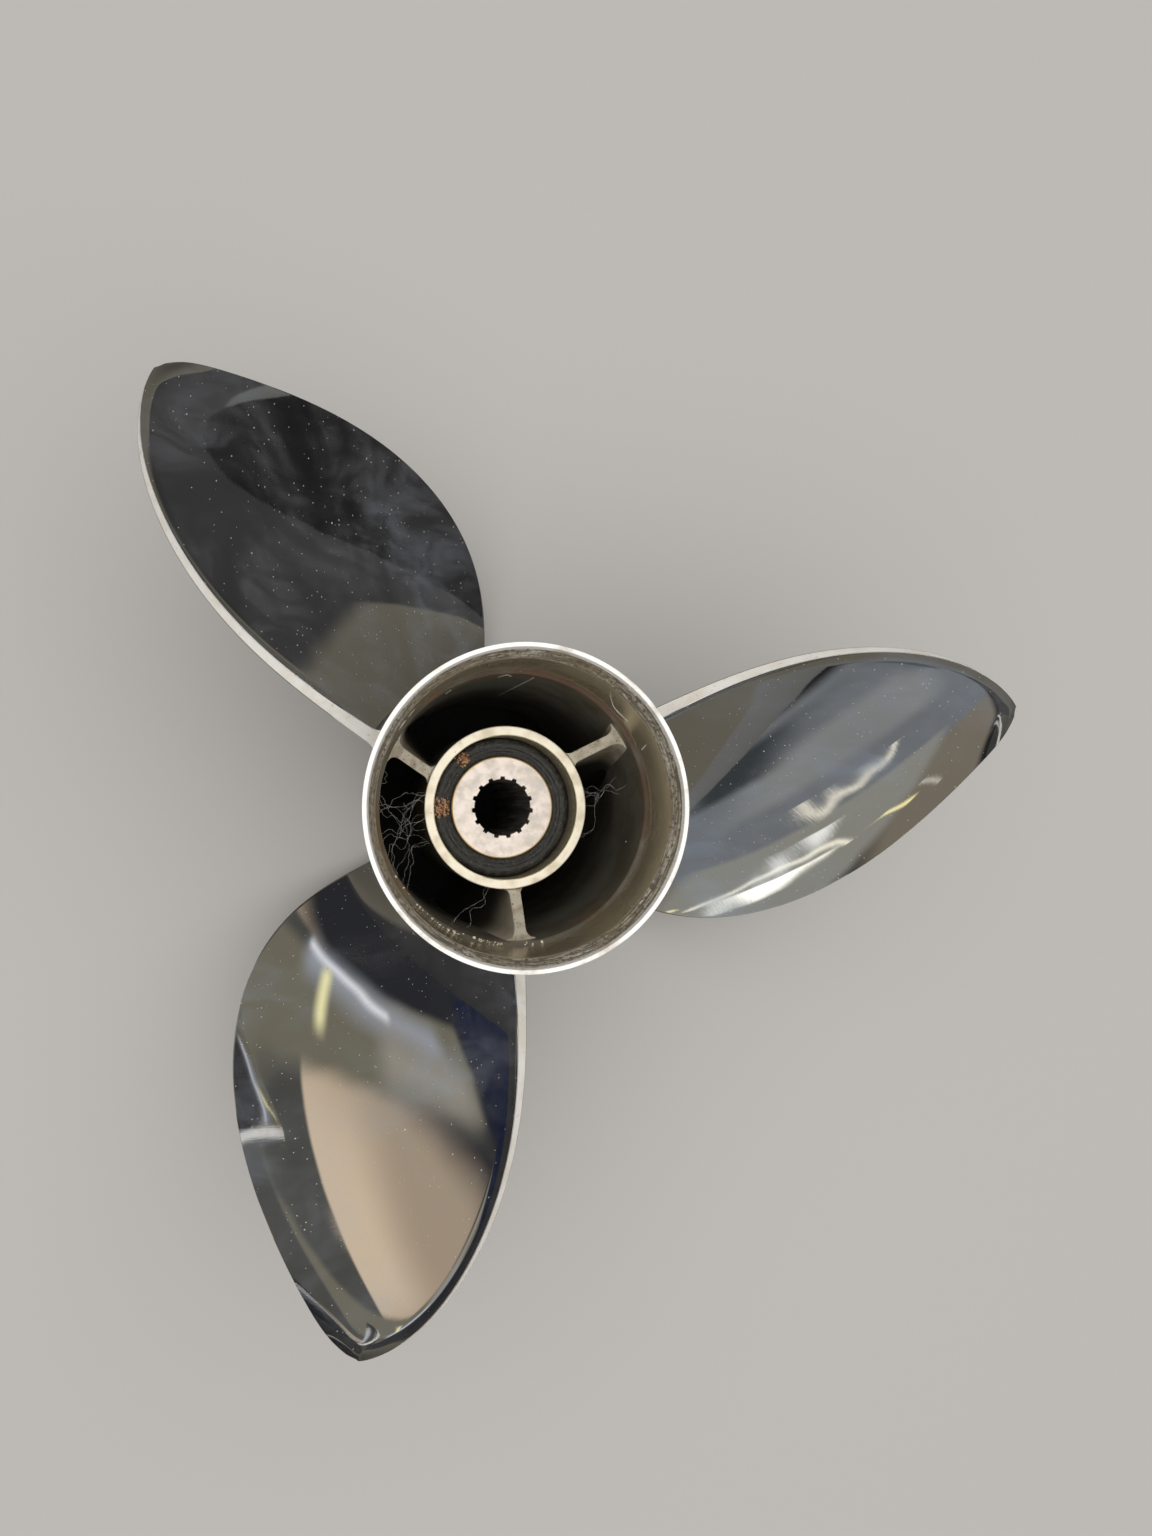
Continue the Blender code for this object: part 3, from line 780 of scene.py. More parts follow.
def face_depth(share, along, chord):
    """Depth of the pressure face under the straight line between its two edges."""
    cup = min(CUP_WIDTH / chord, CUP_LIMIT)
    depth = CUP_DEPTH * smooth_step(share / CUP_START) * cup * chord / CUP_WIDTH
    if along < 1.0 - cup:
        lowering = smooth_step(along / (1.0 - cup))
    else:
        lowering = 1.0 - ((along - 1.0 + cup) / cup) ** 2
    return FACE_HOLLOW * chord * 4.0 * along * (1.0 - along) + depth * lowering


def chord_shares(chord, edge):
    """Places along the chord, crowded at the leading edge and in the cup, up to the edge's round."""
    cup = min(CUP_WIDTH / chord, CUP_LIMIT)
    steps = [(step / CHORD_POINTS) ** CHORD_CROWDING for step in range(CHORD_POINTS + 1)]
    reach = cup - EDGE_CLEARANCE * edge / chord
    curl = [1.0 - cup + reach * step / CUP_POINTS for step in range(1, CUP_POINTS + 1)]
    return [(1.0 - cup) * step for step in steps] + curl


def section_outline(radius, share, chord):
    """The blade's section as (distance from the leading edge, depth) points, all the way round."""
    flare = quarter_round(radius - BODY_RADIUS, ROOT_FILLET)
    end_thickness = blade_thickness(share, 1.0) + 2.0 * flare
    edge = min(EDGE_ROUND, EDGE_THICKNESS_LIMIT * end_thickness)
    thickest = blade_thickness(share, THICKEST_SHARE)
    nose = min(NOSE_ROUND, NOSE_THICKNESS_LIMIT * thickest, NOSE_CHORD_LIMIT * chord)
    face = []
    back = []
    for along in chord_shares(chord, edge):
        rise = min(along / FILLET_RISE, 1.0)
        swell = flare * math.sqrt(1.0 - (1.0 - rise) ** 2)
        depth = face_depth(share, along, chord) - swell
        lift = quarter_round(along * chord, nose)
        thickness = blade_thickness(share, along) + 2.0 * swell
        face.append(Vector((along * chord, depth + lift)))
        from_nose = nose * max(0.0, 1.0 - along * chord / nose)
        back.append(Vector((along * chord, depth + math.hypot(thickness, from_nose))))
    top = Vector((chord, -flare))
    bottom = Vector((chord, end_thickness - flare))
    support = EDGE_SUPPORT * edge
    pressure = round_off(face[-1], top, bottom, edge, support, EDGE_STEPS)
    suction = round_off(top, bottom, back[-1], edge, support, EDGE_STEPS)
    return face + pressure + [top.lerp(bottom, 0.5)] + suction + back[:0:-1]


def follow_hub(radius, height):
    """Shift a radius near the root with the hub's taper, so that the root stays in the shell."""
    fade = 1.0 - smooth_step((radius - BODY_RADIUS) / ROOT_FADE)
    return radius + fade * (shell_outside(height) - BODY_RADIUS)


def blade_station(radius):
    """A closed ring of points round the blade at one radius."""
    trailing, trailing_height, leading, leading_height = blade_edges(radius)
    width = trailing - leading
    climb = math.atan2(trailing_height - leading_height, width * radius)
    chord = math.hypot(trailing_height - leading_height, width * radius)
    ring = []
    for distance, depth in section_outline(radius, blade_share(radius), chord):
        along = distance / chord
        angle = leading + width * along + depth * math.sin(climb) / radius
        height = leading_height + (trailing_height - leading_height) * along
        height -= depth * math.cos(climb)
        ring.append(on_circle(follow_hub(radius, height), angle, height))
    return ring


def blade_blank():
    """One blade: rings of points from inside the shell out to the tip."""
    radii = [BODY_RADIUS - ROOT_SINK]
    for step in range(FILLET_STEPS + 1):
        radii.append(BODY_RADIUS + ROOT_FILLET * (1.0 - math.cos(0.5 * math.pi * step / FILLET_STEPS)))
    first = BODY_RADIUS + ROOT_FILLET
    span = TIP_RADIUS - TIP_TRIM - first
    for index in range(1, SPAN_STATIONS + 1):
        left = 1.0 - index / SPAN_STATIONS
        radii.append(first + span * (1.0 - left ** SPAN_CROWDING))
    band_middle = CHORD_POINTS + 1 + CUP_POINTS + EDGE_STEPS + 3
    band = range(band_middle - 2, band_middle + 2)
    return grid_mesh("blade_blank", [blade_station(radius) for radius in radii], band)


def ground_edge():
    """A blade's trailing edge, ground by hand: cream satin, mottled, with short cross marks."""
    cream, warm, dark = (0.98, 0.96, 0.91), (0.86, 0.80, 0.71), (0.46, 0.42, 0.36)
    material, tree, shader, place = start_finish("ground_blade_edge", 0.1, cream)
    patches = ramp(tree, noise(tree, place, 95.0, 4.0), 0.40, 0.70)
    marks = times(tree, ramp(tree, noise(tree, place, 480.0, 2.0), 0.62, 0.78), 0.45)
    mottled = blend_colours(tree, patches, cream, warm)
    feed(shader, blend_colours(tree, marks, mottled, dark), blend_values(tree, patches, 0.34, 0.48))
    bump(tree, shader, noise(tree, place, 800.0), 0.00004, 0.5)
    return material


blade_mesh = set_round("blades", blade_blank(), BLADE_COUNT, MIRROR_STEEL, ground_edge())
place_piece("blades", blade_mesh, "propeller_casting")


# Rubber bushing. A moulded sleeve of black rubber, pressed into the barrel, that takes up the
# shock of a strike. Its aft face shows the rings of its mould, and grit has settled on it.
SLEEVE_RADIUS = 0.02135
SLEEVE_DROP = 0.0640
BUSHING_DROP = 0.0024
BUSHING_ROUND = 0.0030
BUSHING_LIP = 0.0004
BUSHING_RINGS = 3
BUSHING_ROUND_STEPS = 8
BUSHING_FACE_STEPS = 24
FIT_GAP = 0.0003
SLEEVE_TOP = HUB_LENGTH - SLEEVE_DROP
BUSHING_TOP = SLEEVE_TOP - BUSHING_DROP
BUSHING_BOTTOM = FRONT_RECESS + BUSHING_DROP


def black_rubber():
    """Aged black rubber, greyed by dust along its mould rings."""
    black, grey, grit = (0.018, 0.018, 0.017), (0.070, 0.068, 0.062), (0.26, 0.22, 0.17)
    material, tree, shader, place = start_finish("black_rubber_aged", 0.0, black)
    polar = round_shaft(tree, place, Turns=7.0)
    rings = noise(tree, polar["Streak"], 1.6, 4.0, 0.65)
    dusty = ramp(tree, rings, 0.40, 0.68)
    grains = specks(tree, place, 1500.0, 0.14, 0.24)
    worn = blend_colours(tree, dusty, black, grey)
    feed(shader, blend_colours(tree, grains, worn, grit), blend_values(tree, dusty, 0.42, 0.72))
    bump(tree, shader, rings, 0.0004, 0.7)
    return material


def ring_wave(share):
    """Depth of the mould rings at a share of the way out across the rubber's flat face."""
    return BUSHING_LIP * (0.5 - 0.5 * math.cos(2.0 * math.pi * BUSHING_RINGS * share))


def bushing_outline():
    """Closed outline of the rubber: across the front, up the outside, and in over the aft face."""
    inner = SLEEVE_RADIUS + FIT_GAP
    outer = BARREL_BORE - FIT_GAP
    points = [(inner, BUSHING_BOTTOM, 0.0, 0), (outer, BUSHING_BOTTOM, 0.0, 0)]
    for step in range(BUSHING_ROUND_STEPS + 1):
        turn = 0.5 * math.pi * step / BUSHING_ROUND_STEPS
        radius = outer - BUSHING_ROUND * (1.0 - math.cos(turn))
        points.append((radius, BUSHING_TOP - BUSHING_ROUND * (1.0 - math.sin(turn)), 0.0, 0))
    flat = outer - BUSHING_ROUND - inner
    for step in range(1, BUSHING_FACE_STEPS + 1):
        share = step / BUSHING_FACE_STEPS
        points.append((inner + flat * (1.0 - share), BUSHING_TOP - ring_wave(share), 0.0, 0))
    return points


bushing_mesh = turned_mesh("bushing", bushing_outline(), [black_rubber()], BARREL_SEGMENTS)
place_piece("bushing", bushing_mesh, "rubber_bushing")


# Splined sleeve. A turned metal tube bonded in the rubber, with fifteen grooves broached in its
# bore to fit the shaft. Its aft face is flat and pinkish, and its outer corner is worn golden.
SLEEVE_CHAMFER = 0.0007
SLEEVE_FACE_RADII = (0.0140, 0.0175)
SPLINE_COUNT = 15
SPLINE_ROOT_RADIUS = 0.0127
SPLINE_LAND_RADIUS = 0.0116
SPLINE_GROOVE_SHARE = 0.42
SPLINE_TAPER = 0.75
SPLINE_ANGLE = 90.0
SPLINE_CHAMFER = 0.0003
SLEEVE_RIM_STEPS = 5
ARC_STEPS = 4


def spline_outline():
    """Bore outline over one pitch, as (radius, angle from the groove's middle) points."""
    half = math.pi / SPLINE_COUNT
    groove = half * SPLINE_GROOVE_SHARE
    shares = [step / ARC_STEPS for step in range(ARC_STEPS + 1)]
    points = [(SPLINE_LAND_RADIUS, -half + (half - groove) * share) for share in shares]
    for share in shares:
        points.append((SPLINE_ROOT_RADIUS, -SPLINE_TAPER * groove * (1.0 - 2.0 * share)))
    return points + [(SPLINE_LAND_RADIUS, groove + (half - groove) * share) for share in shares]


def sleeve_blank():
    """One pitch of the sleeve, from its bore over the aft face and down the outside."""
    inner_steps = [(0.0, FRONT_RECESS), (0.0, SLEEVE_TOP - 2.0 * SPLINE_CHAMFER)]
    inner_steps += [(0.0, SLEEVE_TOP - SPLINE_CHAMFER), (SPLINE_CHAMFER, SLEEVE_TOP)]
    rim = SLEEVE_RADIUS - SLEEVE_CHAMFER
    outer_steps = [(radius, SLEEVE_TOP) for radius in (*SLEEVE_FACE_RADII, rim - SUPPORT)]
    for step in range(SLEEVE_RIM_STEPS + 1):
        turn = 0.5 * math.pi * step / SLEEVE_RIM_STEPS
        height = SLEEVE_TOP - SLEEVE_CHAMFER * (1.0 - math.cos(turn))
        outer_steps.append((rim + SLEEVE_CHAMFER * math.sin(turn), height))
    outer_steps.append((SLEEVE_RADIUS, SLEEVE_TOP - SLEEVE_CHAMFER - SUPPORT))
    outer_steps.append((SLEEVE_RADIUS, FRONT_RECESS))
    rows = []
    for radius, turn in spline_outline():
        angle = math.radians(SPLINE_ANGLE) + turn
        row = [(radius + extra, height) for extra, height in inner_steps] + outer_steps
        rows.append([on_circle(reach, angle, height) for reach, height in row])
    first = len(inner_steps) - 1
    last = len(inner_steps) + len(SLEEVE_FACE_RADII) + 1 + SLEEVE_RIM_STEPS
    return grid_mesh("sleeve_blank", rows, range(first, last + 1), capped=False)


def sleeve_face_finish():
    """The sleeve's aft face: pinkish satin metal, faintly mottled, with a golden worn corner."""
    pink, grey, gold = (0.80, 0.715, 0.65), (0.64, 0.585, 0.53), (0.80, 0.60, 0.32)
    material, tree, shader, place = start_finish("sleeve_face", 0.6, pink)
    polar = round_shaft(tree, place, Turns=4.0)
    patches = ramp(tree, noise(tree, place, 210.0, 5.0, 0.6), 0.38, 0.66)
    flecks = times(tree, ramp(tree, noise(tree, place, 800.0), 0.60, 0.72), 0.45)
    worn_from = SLEEVE_RADIUS - 1.5 * SLEEVE_CHAMFER
    corner = ramp(tree, polar["Radius"], worn_from, worn_from + SLEEVE_CHAMFER)
    face = blend_colours(tree, flecks, blend_colours(tree, patches, pink, grey), gold)
    feed(shader, blend_colours(tree, corner, face, gold), blend_values(tree, patches, 0.36, 0.50))
    bump(tree, shader, noise(tree, polar["Streak"], 3.0), 0.00006, 0.5)
    return material


def broached_steel():
    """The sleeve's bore and outside: dark oily steel with the broach's long marks."""
    dark, pale = (0.30, 0.29, 0.27), (0.66, 0.64, 0.60)
    material, tree, shader, place = start_finish("broached_steel", 0.8, dark)
    marks = noise(tree, stretched(tree, place, (1.0, 1.0, 0.04)), 900.0)
    colour = blend_colours(tree, ramp(tree, marks, 0.4, 0.7), dark, pale)
    feed(shader, colour, blend_values(tree, marks, 0.22, 0.44))
    bump(tree, shader, marks, 0.0001, 0.5)
    return material


bore_finish = broached_steel()
sleeve_mesh = set_round("sleeve", sleeve_blank(), SPLINE_COUNT, bore_finish, sleeve_face_finish(), WELD)
outward(sleeve_mesh)
place_piece("sleeve", sleeve_mesh, "splined_sleeve", 30.0)


# Grit, hairs and cobwebs. Crumbs of rust lie on the rubber, paler ones on the step under the
# turned band, and dust on the webs' edges. Hairs cling to the bore, and threads are strung across
# the passages. None of it is fixed: it rests on the metal or the rubber, or hangs between them.
CRUMB_SIZES = (0.00030, 0.00085)
DUST_SIZES = (0.00010, 0.00022)
STEP_CRUMB_SIZES = (0.00022, 0.00078)
CRUMB_DENSITY = 2.6e6
DUST_DENSITY = 5.0e5
STEP_CRUMB_DENSITY = 2.4e6
GRAIN_LEAST = (0.6, 0.6, 0.5)
GRAIN_MOST = (1.0, 1.0, 0.9)
LEDGE_FLATNESS = 0.6
HAIR_THICKNESS = 0.00022
HAIR_STEP = 0.0008
THREAD_THICKNESS = 0.00008
THREAD_STEP = 0.0004
THREAD_WANDER = 0.0036
THREAD_SIDES = 4
DRIFT_SCALE = 260.0
DRIFT_APART = 1.7
THREAD_LEVEL = 0.0900
THREAD_SAG = 0.0030
THREAD_SINK = 0.0006
WALL_CLEARANCE = 0.00008

# Heaps of crumbs on the rubber: middle angle, inner and outer radius, and spread to each side.
HEAPS = ((180.6, 0.0222, 0.0288, 9.5), (129.0, 0.0234, 0.0284, 6.0))
HEAP_PARTS = 10
HEAP_REACH = (0.15, 0.75)

# Crumbs on the step: first and last angle, and the share of it that they lie on there.
CRUMBED_STEP = (208.0, 284.0, 0.18)
CRUMB_DRIFTS = ((228.0, 246.0, 0.60), (254.0, 265.0, 0.98))
DRIFT_STEP = 0.4
DRIFT_LOW_LIMIT = 0.7

# Hairs as (angle, height) points on the wall, and threads as (radius in mm, angle) points.
HAIRS = (
    ((85.5, 0.052), (84.0, 0.073), (82.4, 0.094), (81.0, 0.113)),
    ((55.5, 0.1475), (53.0, 0.139), (49.0, 0.131), (45.0, 0.127), (38.0, 0.129)),
    ((147.0, 0.127), (144.0, 0.128), (142.5, 0.124), (145.0, 0.122), (147.5, 0.124), (146.0, 0.129)),
    ((139.0, 0.121), (141.0, 0.125), (139.5, 0.129), (137.0, 0.126)),
    ((124.5, 0.146), (123.0, 0.142)),
    ((24.7, 0.126), (25.4, 0.1295), (26.4, 0.133)),
    ((24.9, 0.126), (25.7, 0.1295), (26.3, 0.133)),
    ((-15.6, 0.1003), (-16.1, 0.1010), (-16.6, 0.1004), (-16.0, 0.1006), (-15.7, 0.1012)),
    ((88.0, 0.120), (91.0, 0.112), (93.0, 0.116), (96.0, 0.110)),
    ((118.0, 0.112), (120.0, 0.108), (119.0, 0.104)),
)
THREADS = (
    ((33.5, 170.0), (36.0, 172.0), (38.0, 180.0), (40.0, 184.0), (41.0, 188.0), (41.0, 195.0),
     (42.0, 203.0), (46.0, 207.0), (50.0, 210.0), (51.8, 213.0)),
    ((51.8, 171.0), (48.0, 180.0), (44.0, 187.0), (41.0, 188.0), (39.0, 189.5), (41.0, 190.5)),
    ((33.5, 205.0), (36.0, 203.0), (41.0, 204.0), (44.0, 208.0), (47.0, 212.0), (51.8, 217.0)),
    ((33.5, 206.0), (35.0, 205.0), (37.5, 205.5), (41.0, 204.0), (43.0, 211.0), (51.8, 220.0)),
    ((33.5, 175.0), (36.0, 176.0), (38.5, 177.5), (40.0, 179.0), (41.5, 181.0)),
    ((38.8, 180.5), (40.0, 179.0), (41.2, 177.2)),
    ((51.8, 163.0), (49.5, 164.0), (50.0, 167.0), (49.0, 168.5), (51.8, 170.0)),
    ((33.5, 12.0), (38.0, 9.0), (41.5, 8.0), (40.5, 4.0), (39.5, -2.0), (40.3, -10.0), (39.5, -15.0),
     (36.0, -18.0), (33.5, -19.0)),
    ((33.5, 13.0), (36.5, 10.0), (39.0, 9.5), (41.5, 8.0), (42.0, 6.0), (40.5, 4.0)),
    ((33.5, -22.0), (36.0, -20.0), (39.5, -15.0), (40.0, -12.5)),
    ((33.5, 64.0), (35.0, 62.0), (34.6, 59.0), (33.5, 57.0)),
)

# Threads strung at random: middle angle, spread to each side, and how many.
STRAY_THREADS = ((190.0, 22.0, 9), (4.0, 14.0, 3), (255.0, 10.0, 2))
STRAY_PARTS = 5
STRAY_LEVELS = 0.008
STRAY_TURN = 5.0
STRAY_SAG = 0.004


def grit_finish():
    """Crumbs of rust and sand: orange brown, and quite matt."""
    rust, sand = (0.34, 0.12, 0.04), (0.62, 0.42, 0.25)
    material, tree, shader, place = start_finish("rusty_grit", 0.0, rust)
    tone = ramp(tree, noise(tree, place, 1400.0, 2.0), 0.40, 0.62)
    feed(shader, blend_colours(tree, tone, rust, sand), 0.85)
    bump(tree, shader, noise(tree, place, 4000.0, 2.0), 0.0001, 0.6)
    return material


def pale_finish(name, pale, dusty):
    """Dust, pale crumbs, hair or spider's thread: pale, and darker where dirt has caught."""
    material, tree, shader, place = start_finish(name, 0.0, pale)
    caught = ramp(tree, noise(tree, place, 600.0, 2.0), 0.40, 0.60)
    feed(shader, blend_colours(tree, caught, pale, dusty), 0.45)
    return material


def random_vector(tree, low, high):
    inputs = {0: low, 1: high}
    return result(tree, "FunctionNodeRandomValue", inputs, data_type="FLOAT_VECTOR")


def grains_tree():
    """Geometry nodes that lay small uneven grains on a bed of faces."""
    inputs = [("Bed", "Geometry"), ("Density", "Float"), ("Smallest", "Float")]
    inputs += [("Largest", "Float"), ("Seed", "Int"), ("Finish", "Material")]
    tree, given, wanted = start_group("Geometry", "lay_grains", inputs, [("Grains", "Geometry")])
    spread = {"Mesh": given["Bed"], "Density": given["Density"], "Seed": given["Seed"]}
    spots = result(tree, "GeometryNodeDistributePointsOnFaces", spread)
    grain = result(tree, "GeometryNodeMeshIcoSphere", {"Radius": 1.0, "Subdivisions": 1})
    sizes = {2: given["Smallest"], 3: given["Largest"], "Seed": given["Seed"]}
    size = add_node(tree, "FunctionNodeRandomValue", sizes, data_type="FLOAT").outputs[1]
    scale = vector_maths(tree, "SCALE", random_vector(tree, GRAIN_LEAST, GRAIN_MOST), size)
    full_turn = (2.0 * math.pi, 2.0 * math.pi, 2.0 * math.pi)
    tumble = random_vector(tree, (0.0, 0.0, 0.0), full_turn)
    turned = result(tree, "FunctionNodeEulerToRotation", {0: tumble})
    laying = {"Points": spots, "Instance": grain, "Rotation": turned, "Scale": scale}
    laid = result(tree, "GeometryNodeInstanceOnPoints", laying)
    real = result(tree, "GeometryNodeRealizeInstances", {0: laid})
    tree.links.new(finished(tree, real, given["Finish"]), wanted["Grains"])
    return tree


def threads_tree():
    """Geometry nodes that turn chains of edges into round threads, each straying in its own way."""
    inputs = [("Paths", "Geometry"), ("Thickness", "Float"), ("Step", "Float")]
    inputs += [("Wander", "Float"), ("Seed", "Float"), ("Finish", "Material")]
    tree, given, wanted = start_group("Geometry", "spin_threads", inputs, [("Threads", "Geometry")])
    lines = result(tree, "GeometryNodeMeshToCurve", {"Mesh": given["Paths"]})
    curved = {"Curve": lines}
    smooth = result(tree, "GeometryNodeCurveSplineType", curved, spline_type="CATMULL_ROM")
    dividing = {"Curve": smooth, "Length": given["Step"]}
    divided = result(tree, "GeometryNodeResampleCurve", dividing, mode="LENGTH")
    place = result(tree, "GeometryNodeInputPosition")
    thread = tree.nodes.new("GeometryNodeCurveOfPoint").outputs["Curve Index"]
    draw = maths(tree, "ADD", given["Seed"], times(tree, thread, DRIFT_APART))
    pattern = {"Vector": place, "W": draw, "Scale": DRIFT_SCALE, "Detail": 3.0}
    drift = add_node(tree, "ShaderNodeTexNoise", pattern, noise_dimensions="4D").outputs["Color"]
    centred = vector_maths(tree, "SUBTRACT", drift, (0.5, 0.5, 0.5))
    offset = vector_maths(tree, "SCALE", centred, given["Wander"])
    strayed = result(tree, "GeometryNodeSetPosition", {"Geometry": divided, "Offset": offset})
    round_profile = {"Resolution": THREAD_SIDES, "Radius": times(tree, given["Thickness"], 0.5)}
    ring = result(tree, "GeometryNodeCurvePrimitiveCircle", round_profile)
    sweeping = {"Curve": strayed, "Profile Curve": ring, "Fill Caps": True}
    swept = result(tree, "GeometryNodeCurveToMesh", sweeping)
    real = result(tree, "GeometryNodeRealizeInstances", {0: swept})
    tree.links.new(finished(tree, real, given["Finish"]), wanted["Threads"])
    return tree


def rubber_height(radius):
    """Height of the rubber's aft face, with its mould rings and its rounded outer side."""
    inner = SLEEVE_RADIUS + FIT_GAP
    shoulder = BARREL_BORE - FIT_GAP - BUSHING_ROUND
    if radius > shoulder:
        over = min((radius - shoulder) / BUSHING_ROUND, 1.0)
        return BUSHING_TOP - BUSHING_ROUND * (1.0 - math.sqrt(1.0 - over * over))
    return BUSHING_TOP - ring_wave(1.0 - (radius - inner) / (shoulder - inner))


def heap_bed():
    """Small ragged patches of the rubber's face for crumbs to lie on."""
    draw = random.Random(3)
    corners = []
    faces = []
    half = 0.5 * (HEAP_PARTS - 1)
    for middle, near, far, spread in HEAPS:
        for place in range(HEAP_PARTS ** 2):
            across, out = divmod(place, HEAP_PARTS)
            for right, up in ((0, 0), (1, 0), (1, 1), (0, 1)):
                angle = math.radians(middle + spread * (2.0 * (across + right) / HEAP_PARTS - 1.0))
                radius = near + (far - near) * (out + up) / HEAP_PARTS
                corners.append(on_circle(radius, angle, rubber_height(radius)))
            if math.hypot(across - half, out - half) < draw.uniform(*HEAP_REACH) * HEAP_PARTS:
                faces.append(range(len(corners) - 4, len(corners)))
    return mesh_of("heap_bed", corners, [], faces)


def ledge_bed():
    """The webs' aft edges, for dust to settle on."""
    builder = bmesh.new()
    builder.from_mesh(web_mesh)
    ground = web_mesh.materials.find("ground_web_edge")
    others = []
    for face in builder.faces:
        if face.material_index != ground or face.normal.z < LEDGE_FLATNESS:
            others.append(face)
    bmesh.ops.delete(builder, geom=others, context="FACES")
    mesh = bpy.data.meshes.new("ledge_bed")
    builder.to_mesh(mesh)
    builder.free()
    return mesh


def step_bed():
    """Bits of the step under the turned band, on its lower side, where crumbs have drifted."""
    draw = random.Random(7)
    start, end, sparse = CRUMBED_STEP
    corners = []
    faces = []
    for step in range(int((end - start) / DRIFT_STEP)):
        near = start + step * DRIFT_STEP
        drifted = [share for first, last, share in CRUMB_DRIFTS if first <= near < last]
        low = draw.uniform(0.0, DRIFT_LOW_LIMIT)
        high = draw.uniform(low, 1.0)
        if draw.random() < max(drifted + [sparse]):
            faces.append(range(len(corners), len(corners) + 4))
            for turn, share in ((0.0, low), (0.0, high), (1.0, high), (1.0, low)):
                radius = BODY_RADIUS - SHELL_WALL + STEP_WIDTH * share
                height = SEAT_BOTTOM - STEP_WIDTH * (1.0 - share)
                corners.append(on_circle(radius, math.radians(near + turn * DRIFT_STEP), height))
    return mesh_of("step_bed", corners, [], faces)


def wall_radius(height):
    """Inside radius of the shell: the cast bore, the turned band, then the flare."""
    steps = [(level, radius) for radius, level, rounding, finish in reversed(shell_inside)]
    for (below, start), (above, end) in zip(steps, steps[1:]):
        if height <= above:
            return start + (end - start) * (height - below) / (above - below)
    return steps[-1][1]


def chain_mesh(name, chains):
    """Chains of edges through lists of (radius, angle in degrees, height) points."""
    corners = []
    edges = []
    for chain in chains:
        for index, (radius, degrees, height) in enumerate(chain):
            corners.append(on_circle(radius, math.radians(degrees), height))
            if index:
                edges.append((len(corners) - 2, len(corners) - 1))
    return mesh_of(name, corners, edges, [])


def hair_chains():
    chains = []
    for hair in HAIRS:
        chains.append([(wall_radius(height) - WALL_CLEARANCE, angle, height) for angle, height in hair])
    return chains


def thread_chains():
    """Threads at one level that dip a little in the middle and end in the metal."""
    chains = []
    far = wall_radius(THREAD_LEVEL)
    for thread in THREADS:
        chain = []
        for millimetres, angle in thread:
            radius = 0.001 * millimetres
            share = min(max((radius - BARREL_RADIUS) / (far - BARREL_RADIUS), 0.0), 1.0)
            sunk = THREAD_SINK * (share == 1.0) - THREAD_SINK * (share == 0.0)
            sag = THREAD_SAG * math.sin(math.pi * share)
            chain.append((radius + sunk, angle, THREAD_LEVEL - sag))
        chains.append(chain)
    return chains


def stray_chains():
    """More threads, strung at random from the barrel out to the shell."""
    draw = random.Random(11)
    start = BARREL_RADIUS - THREAD_SINK
    end = wall_radius(THREAD_LEVEL) + THREAD_SINK
    spreads = []
    for middle, spread, count in STRAY_THREADS:
        spreads += [(middle, spread)] * count
    chains = []
    for middle, spread in spreads:
        near = middle + draw.uniform(-spread, spread)
        far = middle + draw.uniform(-spread, spread)
        level = THREAD_LEVEL + draw.uniform(-STRAY_LEVELS, STRAY_LEVELS)
        chain = []
        for step in range(STRAY_PARTS + 1):
            share = step / STRAY_PARTS
            stray = 4.0 * share * (1.0 - share)
            angle = near + (far - near) * share + stray * draw.uniform(-STRAY_TURN, STRAY_TURN)
            height = level - stray * draw.uniform(0.0, STRAY_SAG)
            chain.append((start + (end - start) * share, angle, height))
        chains.append(chain)
    return chains


LAY_GRAINS = grains_tree()
SPIN_THREADS = threads_tree()
dust_finish = pale_finish("pale_dust", (0.66, 0.61, 0.51), (0.42, 0.36, 0.28))
crumb_finish = pale_finish("pale_crumbs", (0.95, 0.90, 0.78), (0.66, 0.54, 0.38))
hair_finish = pale_finish("pale_hair", (0.96, 0.94, 0.88), (0.76, 0.72, 0.62))
silk_finish = pale_finish("spider_silk", (0.96, 0.96, 0.93), (0.58, 0.56, 0.50))

for name, bed, density, sizes, seed, finish in (
    ("rust_crumbs", heap_bed(), CRUMB_DENSITY, CRUMB_SIZES, 4, grit_finish()),
    ("ledge_dust", ledge_bed(), DUST_DENSITY, DUST_SIZES, 9, dust_finish),
    ("shoulder_crumbs", step_bed(), STEP_CRUMB_DENSITY, STEP_CRUMB_SIZES, 5, crumb_finish),
):
    values = {"Density": density, "Smallest": sizes[0], "Largest": sizes[1], "Seed": seed}
    values["Finish"] = finish
    place_piece(name, run_nodes(name, bed, LAY_GRAINS, values))

silk_chains = thread_chains() + stray_chains()
for name, chains, thickness, step, wander, seed, finish in (
    ("hairs", hair_chains(), HAIR_THICKNESS, HAIR_STEP, 0.0, 1.0, hair_finish),
    ("cobwebs", silk_chains, THREAD_THICKNESS, THREAD_STEP, THREAD_WANDER, 2.0, silk_finish),
):
    values = {"Thickness": thickness, "Step": step, "Wander": wander, "Seed": seed}
    values["Finish"] = finish
    spun = run_nodes(name, chain_mesh(name, chains), SPIN_THREADS, values)
    place_piece(name, spun, crease=180.0)
